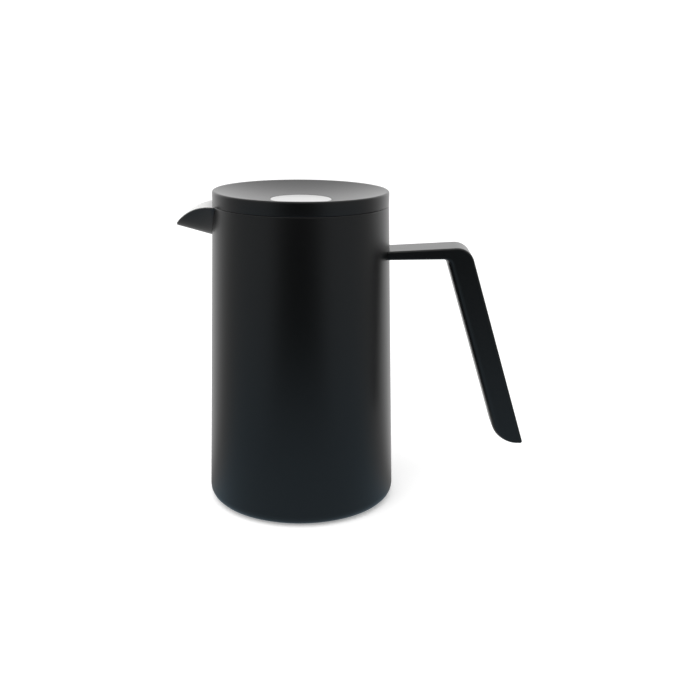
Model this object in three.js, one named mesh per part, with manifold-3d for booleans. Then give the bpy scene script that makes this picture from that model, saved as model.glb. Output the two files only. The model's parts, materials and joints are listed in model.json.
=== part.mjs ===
// French press: a double-wall vessel with a folded pouring beak and an open, downward-pointing handle,
// a lift-out lid with a pour strainer, and a plunger whose dished press disc covers the lid.
// Millimetres, +Z up. The origin is the centre of the base, on the surface that the vessel stands on.
// The beak points along -X and the handle along +X.

import * as THREE from 'three';
import { mergeVertices } from 'three/addons/utils/BufferGeometryUtils.js';
import Module from 'manifold-3d';

const wasm = await Module();
wasm.setup();

// ---------------------------------------------------------------- driving dimensions

const GAP = 0.3; // clearance between pieces that touch or are welded together
const FINE = 40; // facets round a large turned piece
const COARSE = 20; // facets round a small turned piece
const SMALL = 16; // facets round a screw or a hole
const ARC_DENSITY = 5; // facets for each radian of an outline's rounding
const WELD = 1e-4; // vertices closer than this are one
const SIZE_EPS = 0.5; // how far a drill runs past the face that it cuts
const CUT_REACH = 4; // how far a window's or channel's cutter runs past the wall that it cuts
const RUN_IN = 6; // how far the beak and the arm start inside the shell, to be trimmed to it

// Vessel
const RIM_RADIUS = 52.5; // outside of the shell at the rim
const RIM_HEIGHT = 183.8; // top of the shell above the table
const BASE_SPREAD = 5.25; // how much wider the shell is at its foot than at its rim
const BASE_ROUND = 6.8; // radius of the rolled bottom edge
const SHELL_WALL = 0.8;
const SHELL_LIFT = 0.4; // the pad holds the shell this far off the table
const RIM_ROUND = 0.7;
const MOUTH_INSET = 2.6; // how far the rolled rim reaches inwards
const FOOT_LIP = 1.5; // how far the bottom edge reaches inwards past its rounding
const LINER_INSET = 5.5; // from the shell's rim radius to the liner's bore
const LINER_WALL = 0.6;
const LINER_FLOOR = 6; // height of the floor that the coffee stands on
const LINER_CORNER = 8;
const FLARE_DEPTH = 33.8; // from the rim down to where the liner starts to widen
const FLARE_RISE = 6;
const FLARE_LAP = 2; // straight lap of the liner along the shell
const BASE_PLATE_THICK = 1;
const PAD_THICK = 0.7;
const PAD_INSET = 1.2; // from the base plate's edge to the pad's edge
const VENT_RADIUS = 2.7;
const VENT_HEAD = 4;
const VENT_HEIGHT = 1.8;

// Pouring beak
const BEAK_REACH = 21.8; // from the shell's rim radius to the tip
const BEAK_ROOT_DEPTH = 1.4; // how far the beak's stations run in past the rim radius
const BEAK_TOP_DROP = 0.8; // from the rim down to the beak's top edge at its root
const BEAK_DEPTH = 19.5; // from the rim down to the keel at its root
const BEAK_HALF_WIDTH = 18.5; // at the root
const BEAK_TIP_HALF_WIDTH = 0.9;
const BEAK_KEEL_SLOPE = 0.268; // rise of the keel for each millimetre outwards
const BEAK_TIP_HEIGHT = 1.4; // height of the beak's sides at the tip
const BEAK_TAPER = 0.6; // exponent of the taper in plan: below 1 the beak is round-nosed
const BEAK_EDGE_BOW = 2.32; // exponent of the drooping top edge
const BEAK_BELLY = 0.75; // exponent of the section: lower is rounder at the keel
const BEAK_WALL = 1;
const BEAK_STATIONS = 11; // sections from the tip inwards, closer together at the tip
const BEAK_SECTION_STEPS = 5;
const BEAK_SOLID_TIP = 3; // length at the tip where the two walls close up

// Handle
const HANDLE_WIDTH = 24;
const HANDLE_EDGE = 1.2; // bevel along the handle's edges
const ARM_DROP = 26.2; // from the rim down to the top of the arm at its root
const ARM_ROOT_THICK = 5.2;
const ARM_TOP_RISE = 0.0625; // slope of the arm's top
const ARM_BOTTOM_RISE = 0.0241; // slope of the arm's underside
const ARM_LENGTH = 48.5; // from the shell's rim radius to the outer corner
const GRIP_LEAN = 0.306; // outward run of the grip for each millimetre down
const GRIP_THICK = 16.2; // measured level, from the inner to the outer face
const GRIP_DROP = 120.4; // from the top of the arm's root to the grip's lower end
const CORNER_OUTER_ROUND = 10.5;
const CORNER_INNER_ROUND = 4;
const GRIP_END_ROUND = 15;
const GRIP_END_LIMIT = 1.3; // most that the end's rounding may be, as a share of the grip's thickness
const TONGUE_THICK = 1.2;
const TONGUE_WIDTH = 14;
const TONGUE_LENGTH = 36;
const TONGUE_COVER = 1; // arm wall above the tongue's slot
const HANDLE_SCREW_SHANK = 1.3;
const HANDLE_SCREW_HEAD = 2.3;
const HANDLE_SCREW_HEAD_THICK = 0.8;
const HANDLE_SCREW_PLACES = [12, 26]; // from the arm's root

// Lid
const FLANGE_THICK = 1.2;
const FLANGE_INSET = 1.5; // from the rim radius to the lid flange's edge
const PLUG_CLEARANCE = 0.4; // between the mouth and the plug, and between other sliding pieces
const PLUG_WALL = 2;
const PLUG_RECESS = 10.3; // from the flange's top down to the lid's top plate
const PLUG_PLATE = 2;
const PLUG_STOP_RADIUS = 46; // bore of the plug's lower edge, which stops the filter
const PLUG_FOOT_RISE = 2.3; // from the start of the liner's flare up to the plug's lower edge
const SEAL_HEIGHT = 5.3;
const SEAL_THICK = 1.9;
const HUB_RADIUS = 9;
const HUB_LENGTH = 13;
const UNDERPLATE_THICK = 1;
const LID_SCREW_CIRCLE = 30;
const LID_SCREWS = 3;
const LID_SCREW_TURN = 60; // degrees from +X to the first screw
const LID_SCREW_SHANK = 1.5;
const LID_SCREW_HEAD = 2.8;
const LID_SCREW_HEAD_THICK = 1.4;
const LID_SCREW_LENGTH = 6;
const LID_BOSS_RADIUS = 3.6;
const LID_BOSS_HEIGHT = 4;
const WINDOW_HALF_ANGLE = 21; // degrees
const WINDOW_HEADROOM = 1.2; // from the window's top up to the underplate
const WINDOW_SILL = 1.4; // from the top of the seal's neck up to the window
const STRAINER_THICK = 1;
const STRAINER_SLOTS = 6;
const STRAINER_SLOT_WIDTH = 2.6;
const STRAINER_BORDER = 1.8;

// Plunger
const ROD_RADIUS = 2.5;
const BUSH_WALL = 2.4;
const BUSH_FLANGE = 7.6;
const BUSH_FLANGE_THICK = 0.8;
const BUSH_OVERHANG = 1; // how far the bush stands out below the hub
const CLIP_THICK = 0.8;
const CLIP_WIDTH = 2;
const CLIP_MOUTH = 3; // gap between the clip's ends
const DISC_HEIGHT = 8.1; // skirt of the press disc
const DISC_WALL = 1.2;
const DISC_EDGE = 1; // radius of the press disc's top edge
const DISH_DEPTH = 6.1;
const DISH_INSET = 1.5; // from the rim radius to where the dish starts
const DISH_STEPS = 5;
const INLAY_RADIUS = 18.3;
const INLAY_THICK = 1.5;
const BOSS_RADIUS = 4.5;
const BOSS_LENGTH = 7.2;
const BOSS_ROOF = 1.4; // metal left above the rod in the inlay's boss
const CORE_WALL = 1.8;
const CORE_HUB_THICK = 0.9; // of the core where the disc's seat presses on it
const NUT_FLATS = 14; // across the flats
const NUT_THICK = 3.4;
const FILTER_CLEARANCE = 0.3; // between the coil's outside and the liner
const FILTER_HEIGHT = 14.6; // coil centre above the liner's floor
const COIL_RADIUS = 1.6; // of the coil's own section
const PLATE_THICK = 1;
const PLATE_DOME = 4; // rise of the domed plate from its edge to its centre
const PLATE_FLAT = 12; // radius of the domed plate's flat middle
const PLATE_BRIM = 5; // width of the domed plate's flat edge
const SCREEN_THICK = 0.5;
const CROSS_INSET = 4.5; // from the screen's edge to the cross plate's edge
const FILTER_NUT_FLATS = 11;
const FILTER_NUT_THICK = 3.2;
const COLLAR_RADIUS = 6;
const COLLAR_HEIGHT = 5;
const ROD_TAIL = 1; // rod past the lower nut
const DOME_PORTS = 6;
const CROSS_PORTS = 8;
const CROSS_PORT_INSET = 13.8; // from the cross plate's edge to the circle of its ports
const PORT_RADIUS = 5;

// ---------------------------------------------------------------- derived places

const mouthRadius = RIM_RADIUS - MOUTH_INSET;
const linerRadius = RIM_RADIUS - LINER_INSET;
const taper = BASE_SPREAD / (RIM_HEIGHT - SHELL_LIFT - BASE_ROUND);
const flareZ = RIM_HEIGHT - FLARE_DEPTH;
const basePlateZ = SHELL_LIFT + GAP + GAP;
const discBottomZ = RIM_HEIGHT + GAP;
const discTopZ = discBottomZ + DISC_HEIGHT;
const dishRadius = RIM_RADIUS - DISH_INSET;
const inlayTopZ = dishZ(INLAY_RADIUS);
const seatZ = inlayTopZ - INLAY_THICK - GAP;
const flangeZ = RIM_HEIGHT + GAP;
const plugRadius = mouthRadius - PLUG_CLEARANCE;
const plugFootZ = flareZ + PLUG_FOOT_RISE;
const sealTopZ = plugFootZ + SEAL_HEIGHT;
const neckRadius = plugRadius - SEAL_THICK - GAP;
const plugPlateTopZ = flangeZ + FLANGE_THICK - PLUG_RECESS;
const plugPlateZ = plugPlateTopZ - PLUG_PLATE;
const hubZ = plugPlateTopZ - HUB_LENGTH;
const windowZ = sealTopZ + WINDOW_SILL;
const bushBore = ROD_RADIUS + GAP;
const bushRadius = bushBore + BUSH_WALL;
const bushBottomZ = hubZ - BUSH_OVERHANG - CLIP_THICK - GAP;
const underplateZ = plugPlateZ - GAP - UNDERPLATE_THICK;
const windowTopZ = underplateZ - WINDOW_HEADROOM;
const bossBottomZ = seatZ + GAP - BOSS_LENGTH;
const coreZ = seatZ - DISC_WALL - GAP - CORE_HUB_THICK;
const coilRadius = linerRadius - FILTER_CLEARANCE - COIL_RADIUS;
const coilZ = LINER_FLOOR + FILTER_HEIGHT;
const screenZ = coilZ - COIL_RADIUS - GAP - SCREEN_THICK;
const crossZ = screenZ - GAP - PLATE_THICK;
const filterNutZ = crossZ - GAP - FILTER_NUT_THICK;
const domeEdgeRadius = coilRadius - COIL_RADIUS - GAP;
const domeEdgeZ = screenZ + SCREEN_THICK + GAP;
const collarZ = domeEdgeZ + PLATE_DOME + PLATE_THICK + GAP;
const armTopZ = RIM_HEIGHT - ARM_DROP;
const tongueZ = armTopZ - TONGUE_COVER - GAP - TONGUE_THICK;

/** Outside radius of the shell at a height. */
function shellRadius(z) {
  return RIM_RADIUS + taper * (RIM_HEIGHT - z);
}

/** Height of the dished top at a radius: a shallow paraboloid. */
function dishZ(radius) {
  return discTopZ - DISH_DEPTH * (1 - (radius / dishRadius) ** 2);
}

// ---------------------------------------------------------------- geometry helpers

/** Points of an arc about (cx, cy), angles in degrees, both ends included. */
function arc(cx, cy, radius, from, to, steps) {
  return Array.from({ length: steps + 1 }, (_, i) => {
    const a = THREE.MathUtils.degToRad(from + ((to - from) * i) / steps);
    return [cx + radius * Math.cos(a), cy + radius * Math.sin(a)];
  });
}

/** Six times the signed volume of an indexed triangle mesh: negative when its faces point inwards. */
function signedVolume(geometry) {
  const p = geometry.attributes.position;
  const [a, b, c] = [0, 1, 2].map(() => new THREE.Vector3());
  let sum = 0;
  for (let i = 0; i < geometry.index.count; i += 3) {
    [a, b, c].forEach((v, k) => v.fromBufferAttribute(p, geometry.index.getX(i + k)));
    sum += a.dot(b.cross(c));
  }
  return sum;
}

/** The same surface with shared vertices, no collapsed triangles and its faces pointing out. */
function tidy(source) {
  const bare = source.index ? source.toNonIndexed() : source.clone();
  ['normal', 'uv'].forEach((name) => bare.deleteAttribute(name));
  const geometry = mergeVertices(bare, WELD);
  const kept = [];
  for (let i = 0; i < geometry.index.count; i += 3) {
    const [a, b, c] = [0, 1, 2].map((k) => geometry.index.getX(i + k));
    if (a !== b && b !== c && c !== a) kept.push(a, b, c);
  }
  geometry.setIndex(kept);
  if (signedVolume(geometry) < 0) geometry.setIndex(kept.reverse());
  return geometry;
}

/** A piece turned about Z from an outline of [radius, height] points, closed on itself or on the axis. */
function turned(outline, facets = FINE) {
  const points = outline.map(([r, z]) => new THREE.Vector2(Math.max(r, 0), z));
  const onAxis = points[0].x < WELD && points.at(-1).x < WELD;
  if (!onAxis) points.push(points[0].clone());
  return tidy(new THREE.LatheGeometry(points, facets).rotateX(Math.PI / 2));
}

/** A plain ring, washer or disc between two radii and two heights. */
function ring(inner, outer, bottom, top, facets = COARSE) {
  return turned([[inner, bottom], [outer, bottom], [outer, top], [inner, top]], facets);
}

/** A flat plate: an outline of [x, y] points with round holes given as [x, y, radius], raised along Z. */
function plate(outline, holes, bottom, thick, facets = COARSE) {
  const shape = new THREE.Shape(outline.map(([x, y]) => new THREE.Vector2(x, y)));
  shape.holes = holes.map(([x, y, r]) => {
    const rim = arc(x, y, r, 0, 360, facets).slice(0, -1);
    return new THREE.Path(rim.map(([u, v]) => new THREE.Vector2(u, v)));
  });
  const geometry = new THREE.ExtrudeGeometry(shape, { depth: thick, bevelEnabled: false });
  return tidy(geometry.translate(0, 0, bottom));
}

/** A hexagonal nut with a round bore. */
function hexNut(flats, bore, bottom, thick) {
  return plate(arc(0, 0, flats / Math.sqrt(3), 0, 300, 5), [[0, 0, bore]], bottom, thick);
}

/** A closed skin through loops of points, each loop with the same count, capped by fans at both ends. */
function loft(loops) {
  const count = loops[0].length;
  const centres = [loops[0], loops.at(-1)].map((loop) =>
    loop.reduce((sum, p) => sum.add(p), new THREE.Vector3()).divideScalar(count));
  const vertices = [...loops.flat(), ...centres];
  const index = [];
  for (let i = 0; i < loops.length - 1; i += 1) {
    for (let j = 0; j < count; j += 1) {
      const a = i * count + j;
      const b = i * count + ((j + 1) % count);
      index.push(a, b, b + count, a, b + count, a + count);
    }
  }
  const last = (loops.length - 1) * count;
  for (let j = 0; j < count; j += 1) {
    index.push((j + 1) % count, j, vertices.length - 2);
    index.push(last + j, last + ((j + 1) % count), vertices.length - 1);
  }
  const geometry = new THREE.BufferGeometry().setFromPoints(vertices);
  geometry.setIndex(index);
  return tidy(geometry);
}

/** An outline whose corners [x, y, radius] are rounded by arcs. */
function rounded(corners, steps) {
  return corners.flatMap(([x, y, radius], i) => {
    const at = new THREE.Vector2(x, y);
    const [before, after] = [corners.at(i - 1), corners[(i + 1) % corners.length]].map(
      ([u, v]) => new THREE.Vector2(u, v).sub(at).normalize());
    if (!radius) return [at];
    const half = Math.acos(THREE.MathUtils.clamp(before.dot(after), -1, 1)) / 2;
    const middle = before.clone().add(after).normalize();
    const centre = at.clone().addScaledVector(middle, radius / Math.sin(half));
    const run = radius / Math.tan(half);
    const from = at.clone().addScaledVector(before, run).sub(centre).angle();
    let sweep = at.clone().addScaledVector(after, run).sub(centre).angle() - from;
    sweep = THREE.MathUtils.euclideanModulo(sweep + Math.PI, 2 * Math.PI) - Math.PI;
    const turns = Math.max(1, Math.round(steps * Math.abs(sweep)));
    return Array.from({ length: turns + 1 }, (_, k) =>
      new THREE.Vector2(radius, 0).rotateAround(new THREE.Vector2(), from + (sweep * k) / turns).add(centre));
  });
}

/** A boolean solid from a closed mesh. */
function solid(geometry) {
  return new wasm.Manifold(new wasm.Mesh({
    numProp: 3,
    vertProperties: new Float32Array(geometry.attributes.position.array),
    triVerts: new Uint32Array(geometry.index.array),
  }));
}

/** The base piece with some pieces joined on and then others cut away. */
function carve(base, cuts = [], joins = []) {
  let body = solid(base);
  joins.forEach((piece) => { body = body.add(solid(tidy(piece))); });
  cuts.forEach((piece) => { body = body.subtract(solid(tidy(piece))); });
  const mesh = body.getMesh();
  const geometry = new THREE.BufferGeometry();
  geometry.setAttribute('position', new THREE.BufferAttribute(new Float32Array(mesh.vertProperties), 3));
  geometry.setIndex(new THREE.BufferAttribute(new Uint32Array(mesh.triVerts), 1));
  return geometry;
}

/** A box between two corners. */
function block([x0, y0, z0], [x1, y1, z1]) {
  return new THREE.BoxGeometry(x1 - x0, y1 - y0, z1 - z0)
    .translate((x0 + x1) / 2, (y0 + y1) / 2, (z0 + z1) / 2);
}

/** A cylinder standing on a height at a place in plan. */
function post(x, y, radius, bottom, height, facets = SMALL) {
  return new THREE.CylinderGeometry(radius, radius, height, facets)
    .rotateX(Math.PI / 2).translate(x, y, bottom + height / 2);
}

/** Places evenly round a circle, as [x, y, angle in radians]. */
function around(count, radius, firstDegrees = 0) {
  return Array.from({ length: count }, (_, i) => {
    const a = THREE.MathUtils.degToRad(firstDegrees) + (2 * Math.PI * i) / count;
    return [radius * Math.cos(a), radius * Math.sin(a), a];
  });
}

// ---------------------------------------------------------------- materials

const finish = (color, roughness, metalness) =>
  new THREE.MeshStandardMaterial({ color, roughness, metalness });
const blackCoat = finish(0x1c1e20, 0.42, 0.25);
const steel = finish(0xc9cacb, 0.28, 1);
const blackPlastic = finish(0x202123, 0.55, 0);
const silicone = finish(0x2a2b2d, 0.8, 0);

const press = new THREE.Group();

/** Adds one named piece to the press. */
function add(name, geometry, material) {
  const mesh = new THREE.Mesh(geometry, material);
  mesh.name = name;
  press.add(mesh);
  return mesh;
}

// ---------------------------------------------------------------- beak shape

/** One section of the beak across X, inset all round by a wall and raised above the top by a lift. */
function beakSection(x, inset, lift) {
  const root = -(RIM_RADIUS - BEAK_ROOT_DEPTH);
  const length = BEAK_REACH + BEAK_ROOT_DEPTH;
  const share = THREE.MathUtils.clamp((root - x) / length, 0, 1);
  const spread = (BEAK_HALF_WIDTH - BEAK_TIP_HALF_WIDTH) * (1 - share) ** BEAK_TAPER;
  const half = Math.max(BEAK_TIP_HALF_WIDTH + spread - inset, inset ? GAP : 0);
  const keel = RIM_HEIGHT - BEAK_DEPTH + BEAK_KEEL_SLOPE * (root - x);
  const keelTip = RIM_HEIGHT - BEAK_DEPTH + BEAK_KEEL_SLOPE * length;
  const droop = RIM_HEIGHT - BEAK_TOP_DROP - keelTip - BEAK_TIP_HEIGHT;
  const top = RIM_HEIGHT - BEAK_TOP_DROP - droop * share ** BEAK_EDGE_BOW;
  const steps = Array.from({ length: BEAK_SECTION_STEPS + 1 }, (_, i) => i / BEAK_SECTION_STEPS);
  const side = steps.map((s) => [half * s ** BEAK_BELLY, keel + inset + (top - keel - inset) * s]);
  const crown = lift ? [[half, top + lift]] : [];
  const right = [...side, ...crown];
  const left = right.slice(1).reverse();
  return [
    ...right.map(([y, z]) => new THREE.Vector3(x, y, z)),
    ...left.map(([y, z]) => new THREE.Vector3(x, -y, z)),
  ];
}

/** The beak's outside, or with an inset and a lift the channel inside it. */
function beakLoft(innerX, outerX, inset, lift) {
  const stations = Array.from({ length: BEAK_STATIONS }, (_, i) =>
    outerX + (innerX - outerX) * (i / (BEAK_STATIONS - 1)) ** 2);
  return loft(stations.map((x) => beakSection(x, inset, lift)));
}

// ---------------------------------------------------------------- vessel

/** The solid that the shell's outside fills, grown by a gap, for shaping what meets it. */
function shellEnvelope(gap) {
  return turned([
    [0, 0], [shellRadius(0) + gap, 0], [shellRadius(RIM_HEIGHT) + gap, RIM_HEIGHT], [0, RIM_HEIGHT],
  ]);
}

function outerShell() {
  const roundZ = SHELL_LIFT + BASE_ROUND;
  const roundR = shellRadius(roundZ) - BASE_ROUND;
  const inner = BASE_ROUND - SHELL_WALL;
  const outline = [
    [roundR - FOOT_LIP, SHELL_LIFT],
    ...arc(roundR, roundZ, BASE_ROUND, -90, 0, 4),
    ...arc(RIM_RADIUS - RIM_ROUND, RIM_HEIGHT - RIM_ROUND, RIM_ROUND, 0, 90, 2),
    [mouthRadius, RIM_HEIGHT],
    [mouthRadius, RIM_HEIGHT - SHELL_WALL],
    [shellRadius(RIM_HEIGHT - SHELL_WALL) - SHELL_WALL, RIM_HEIGHT - SHELL_WALL],
    ...arc(roundR, roundZ, inner, 0, -90, 3),
    [roundR - FOOT_LIP, SHELL_LIFT + SHELL_WALL],
  ];
  const channel = beakLoft(-(mouthRadius - CUT_REACH), -(RIM_RADIUS + CUT_REACH), BEAK_WALL, 0);
  const ceiling = block(
    [-RIM_RADIUS - 2 * CUT_REACH, -BEAK_HALF_WIDTH - CUT_REACH, RIM_HEIGHT - SHELL_WALL - GAP],
    [0, BEAK_HALF_WIDTH + CUT_REACH, RIM_HEIGHT + CUT_REACH],
  );
  return carve(turned(outline), [carve(channel, [ceiling])]);
}

function innerLiner() {
  const r = linerRadius;
  const w = LINER_WALL;
  const edge = shellRadius(flareZ + FLARE_RISE) - SHELL_WALL - GAP;
  const lapTop = flareZ + FLARE_RISE + FLARE_LAP;
  const lapEdge = shellRadius(lapTop) - SHELL_WALL - GAP;
  const cornerZ = LINER_FLOOR + LINER_CORNER;
  return turned([
    [0, LINER_FLOOR - w],
    ...arc(r - LINER_CORNER, cornerZ, LINER_CORNER + w, -90, 0, 4),
    [r + w, flareZ],
    [edge, flareZ + FLARE_RISE - w / 2],
    [lapEdge, lapTop],
    [lapEdge - w, lapTop],
    [edge - w, flareZ + FLARE_RISE],
    [r, flareZ],
    ...arc(r - LINER_CORNER, cornerZ, LINER_CORNER, 0, -90, 4),
    [0, LINER_FLOOR],
  ]);
}

function spout() {
  const start = -(RIM_RADIUS - BEAK_ROOT_DEPTH - RUN_IN);
  const tip = -(RIM_RADIUS + BEAK_REACH);
  const outer = beakLoft(start, tip, 0, 0);
  const channel = beakLoft(start + CUT_REACH, tip + BEAK_SOLID_TIP, BEAK_WALL, CUT_REACH);
  return carve(outer, [channel, shellEnvelope(GAP)]);
}

const footRadius = shellRadius(SHELL_LIFT + BASE_ROUND) - BASE_ROUND - FOOT_LIP;
const basePlateRadius = footRadius - GAP;
add('outer_shell', outerShell(), blackCoat);
add('inner_liner', innerLiner(), steel);
add('base_plate', ring(VENT_RADIUS + GAP, basePlateRadius, basePlateZ, basePlateZ + BASE_PLATE_THICK, FINE),
  steel);
add('vent_plug', turned([
  [0, basePlateZ], [VENT_RADIUS, basePlateZ], [VENT_RADIUS, basePlateZ + BASE_PLATE_THICK + GAP],
  [VENT_HEAD, basePlateZ + BASE_PLATE_THICK + GAP], [VENT_HEAD, basePlateZ + BASE_PLATE_THICK + VENT_HEIGHT],
  [0, basePlateZ + BASE_PLATE_THICK + VENT_HEIGHT],
], COARSE / 2), steel);
add('base_pad', turned([
  [0, 0], [basePlateRadius - PAD_INSET, 0], [basePlateRadius - PAD_INSET, PAD_THICK], [0, PAD_THICK],
]), silicone);
add('spout', spout(), blackCoat);

// ---------------------------------------------------------------- handle

/** Side view of the handle as [x, z, corner radius], starting inside the shell so that it can be trimmed. */
function handleOutline() {
  const startX = RIM_RADIUS - RUN_IN;
  const topAt = (x) => armTopZ + ARM_TOP_RISE * (x - RIM_RADIUS);
  const bottomAt = (x) => armTopZ - ARM_ROOT_THICK + ARM_BOTTOM_RISE * (x - RIM_RADIUS);
  const cornerX = RIM_RADIUS + ARM_LENGTH;
  const outerAt = (z) => cornerX + GRIP_LEAN * (topAt(cornerX) - z);
  const endZ = armTopZ - GRIP_DROP;
  // The inner face meets the arm's underside where outerAt(z) - GRIP_THICK = x and bottomAt(x) = z.
  const innerZ = bottomAt(cornerX - GRIP_THICK + GRIP_LEAN * (topAt(cornerX) - bottomAt(cornerX)));
  return rounded([
    [startX, topAt(startX), 0],
    [cornerX, topAt(cornerX), CORNER_OUTER_ROUND],
    [outerAt(endZ), endZ, 0],
    [outerAt(endZ) - GRIP_THICK, endZ, Math.min(GRIP_END_ROUND, GRIP_END_LIMIT * GRIP_THICK)],
    [outerAt(innerZ) - GRIP_THICK, innerZ, CORNER_INNER_ROUND],
    [startX, bottomAt(startX), 0],
  ], ARC_DENSITY);
}

const tongueRoot = shellRadius(tongueZ) + GAP;
const handleScrewXs = HANDLE_SCREW_PLACES.map((place) => tongueRoot + place);

/** Underside of the arm at a distance along X. */
function armUnderside(x) {
  return armTopZ - ARM_ROOT_THICK + ARM_BOTTOM_RISE * (x - RIM_RADIUS);
}

function handle() {
  const shape = new THREE.Shape(handleOutline());
  const body = new THREE.ExtrudeGeometry(shape, {
    depth: HANDLE_WIDTH - 2 * HANDLE_EDGE,
    bevelSize: HANDLE_EDGE,
    bevelThickness: HANDLE_EDGE,
    bevelOffset: -HANDLE_EDGE,
    bevelSegments: 2,
  }).translate(0, 0, HANDLE_EDGE - HANDLE_WIDTH / 2).rotateX(Math.PI / 2);
  const slot = block(
    [RIM_RADIUS - RUN_IN - CUT_REACH, -TONGUE_WIDTH / 2 - GAP, tongueZ - GAP],
    [tongueRoot + TONGUE_LENGTH + GAP, TONGUE_WIDTH / 2 + GAP, tongueZ + TONGUE_THICK + GAP],
  );
  const screwHoles = handleScrewXs.flatMap((x) => {
    const under = armUnderside(x);
    return [
      post(x, 0, HANDLE_SCREW_SHANK + GAP, under - SIZE_EPS, tongueZ - under + SIZE_EPS),
      post(x, 0, HANDLE_SCREW_HEAD + GAP, under - SIZE_EPS, HANDLE_SCREW_HEAD_THICK + GAP + SIZE_EPS),
    ];
  });
  return carve(tidy(body), [shellEnvelope(GAP), slot, ...screwHoles]);
}

function handleTongue() {
  const blade = block(
    [RIM_RADIUS - RUN_IN, -TONGUE_WIDTH / 2, tongueZ],
    [tongueRoot + TONGUE_LENGTH, TONGUE_WIDTH / 2, tongueZ + TONGUE_THICK],
  );
  const holes = handleScrewXs.map((x) =>
    post(x, 0, HANDLE_SCREW_SHANK + GAP, tongueZ - SIZE_EPS, TONGUE_THICK + 2 * SIZE_EPS));
  return carve(tidy(blade), [shellEnvelope(GAP), ...holes]);
}

/** A flat-headed screw pointing up, with its head below. */
function screw(x, y, head, headThick, shank, bottom, length) {
  return turned([
    [0, bottom], [head, bottom], [head, bottom + headThick], [shank, bottom + headThick],
    [shank, bottom + length], [0, bottom + length],
  ], SMALL).translate(x, y, 0);
}

add('handle', handle(), blackPlastic);
add('handle_tongue', handleTongue(), steel);
handleScrewXs.forEach((x, i) => {
  const bottom = armUnderside(x) + GAP;
  const length = tongueZ + TONGUE_THICK - bottom;
  add(`handle_screw_${i + 1}`,
    screw(x, 0, HANDLE_SCREW_HEAD, HANDLE_SCREW_HEAD_THICK, HANDLE_SCREW_SHANK, bottom, length), steel);
});

// ---------------------------------------------------------------- lid

/** A wedge-shaped ring sector about the -X axis. */
function mouthSector(inner, outer, bottom, top, halfAngle) {
  const rim = [
    ...arc(0, 0, outer, 180 - halfAngle, 180 + halfAngle, 8),
    ...arc(0, 0, inner, 180 + halfAngle, 180 - halfAngle, 8),
  ];
  return plate(rim, [], bottom, top - bottom);
}

const lidScrewPlaces = around(LID_SCREWS, LID_SCREW_CIRCLE, LID_SCREW_TURN);
const hubBore = bushRadius + GAP;

function lidInsert() {
  const inner = plugRadius - PLUG_WALL;
  const body = turned([
    [hubBore, hubZ], [HUB_RADIUS, hubZ], [HUB_RADIUS, plugPlateZ], [inner, plugPlateZ],
    [inner, sealTopZ + GAP + PLUG_WALL], [PLUG_STOP_RADIUS, sealTopZ + GAP], [PLUG_STOP_RADIUS, plugFootZ],
    [neckRadius, plugFootZ], [neckRadius, sealTopZ + GAP], [plugRadius, sealTopZ + GAP],
    [plugRadius, flangeZ], [RIM_RADIUS - FLANGE_INSET, flangeZ],
    [RIM_RADIUS - FLANGE_INSET, flangeZ + FLANGE_THICK], [inner, flangeZ + FLANGE_THICK],
    [inner, plugPlateTopZ], [hubBore, plugPlateTopZ],
  ]);
  const bosses = lidScrewPlaces.map(([x, y]) =>
    post(x, y, LID_BOSS_RADIUS, plugPlateTopZ - SIZE_EPS, LID_BOSS_HEIGHT + SIZE_EPS));
  const holes = lidScrewPlaces.map(([x, y]) =>
    post(x, y, LID_SCREW_SHANK + GAP, plugPlateZ - SIZE_EPS, LID_SCREW_LENGTH - UNDERPLATE_THICK + SIZE_EPS));
  const opening = mouthSector(
    inner - CUT_REACH, plugRadius + CUT_REACH, windowZ, windowTopZ, WINDOW_HALF_ANGLE);
  return carve(body, [...holes, opening], bosses);
}

/** The seal's lower edge follows the liner's flare, a gap above it. */
function lidSeal() {
  const inner = plugRadius - SEAL_THICK;
  const flareEdge = shellRadius(flareZ + FLARE_RISE) - SHELL_WALL - GAP - LINER_WALL;
  const slope = FLARE_RISE / (flareEdge - linerRadius);
  const footAt = (r) => flareZ + slope * (r - linerRadius) + 2 * GAP;
  return turned([
    [inner, footAt(inner)], [plugRadius, footAt(plugRadius)], [plugRadius, sealTopZ], [inner, sealTopZ],
  ]);
}

function pourStrainer() {
  const outer = plugRadius - PLUG_WALL / 2 + STRAINER_THICK / 2;
  const edge = THREE.MathUtils.radToDeg(GAP / outer);
  const half = WINDOW_HALF_ANGLE - edge;
  const sheet = mouthSector(
    outer - STRAINER_THICK, outer, windowZ + GAP, windowTopZ - GAP, half);
  const slots = Array.from({ length: STRAINER_SLOTS }, (_, i) => {
    const turn = THREE.MathUtils.degToRad(half * ((2 * i + 1) / STRAINER_SLOTS - 1));
    return block(
      [-outer - CUT_REACH, -STRAINER_SLOT_WIDTH / 2, windowZ + GAP + STRAINER_BORDER],
      [-outer + CUT_REACH, STRAINER_SLOT_WIDTH / 2, windowTopZ - GAP - STRAINER_BORDER],
    ).rotateZ(turn);
  });
  return carve(sheet, slots);
}

function underplate() {
  const rim = arc(0, 0, plugRadius - PLUG_WALL - GAP, 0, 360, FINE).slice(0, -1);
  const holes = [
    [0, 0, HUB_RADIUS + GAP],
    ...lidScrewPlaces.map(([x, y]) => [x, y, LID_SCREW_SHANK + GAP]),
  ];
  return plate(rim, holes, underplateZ, UNDERPLATE_THICK);
}

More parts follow.
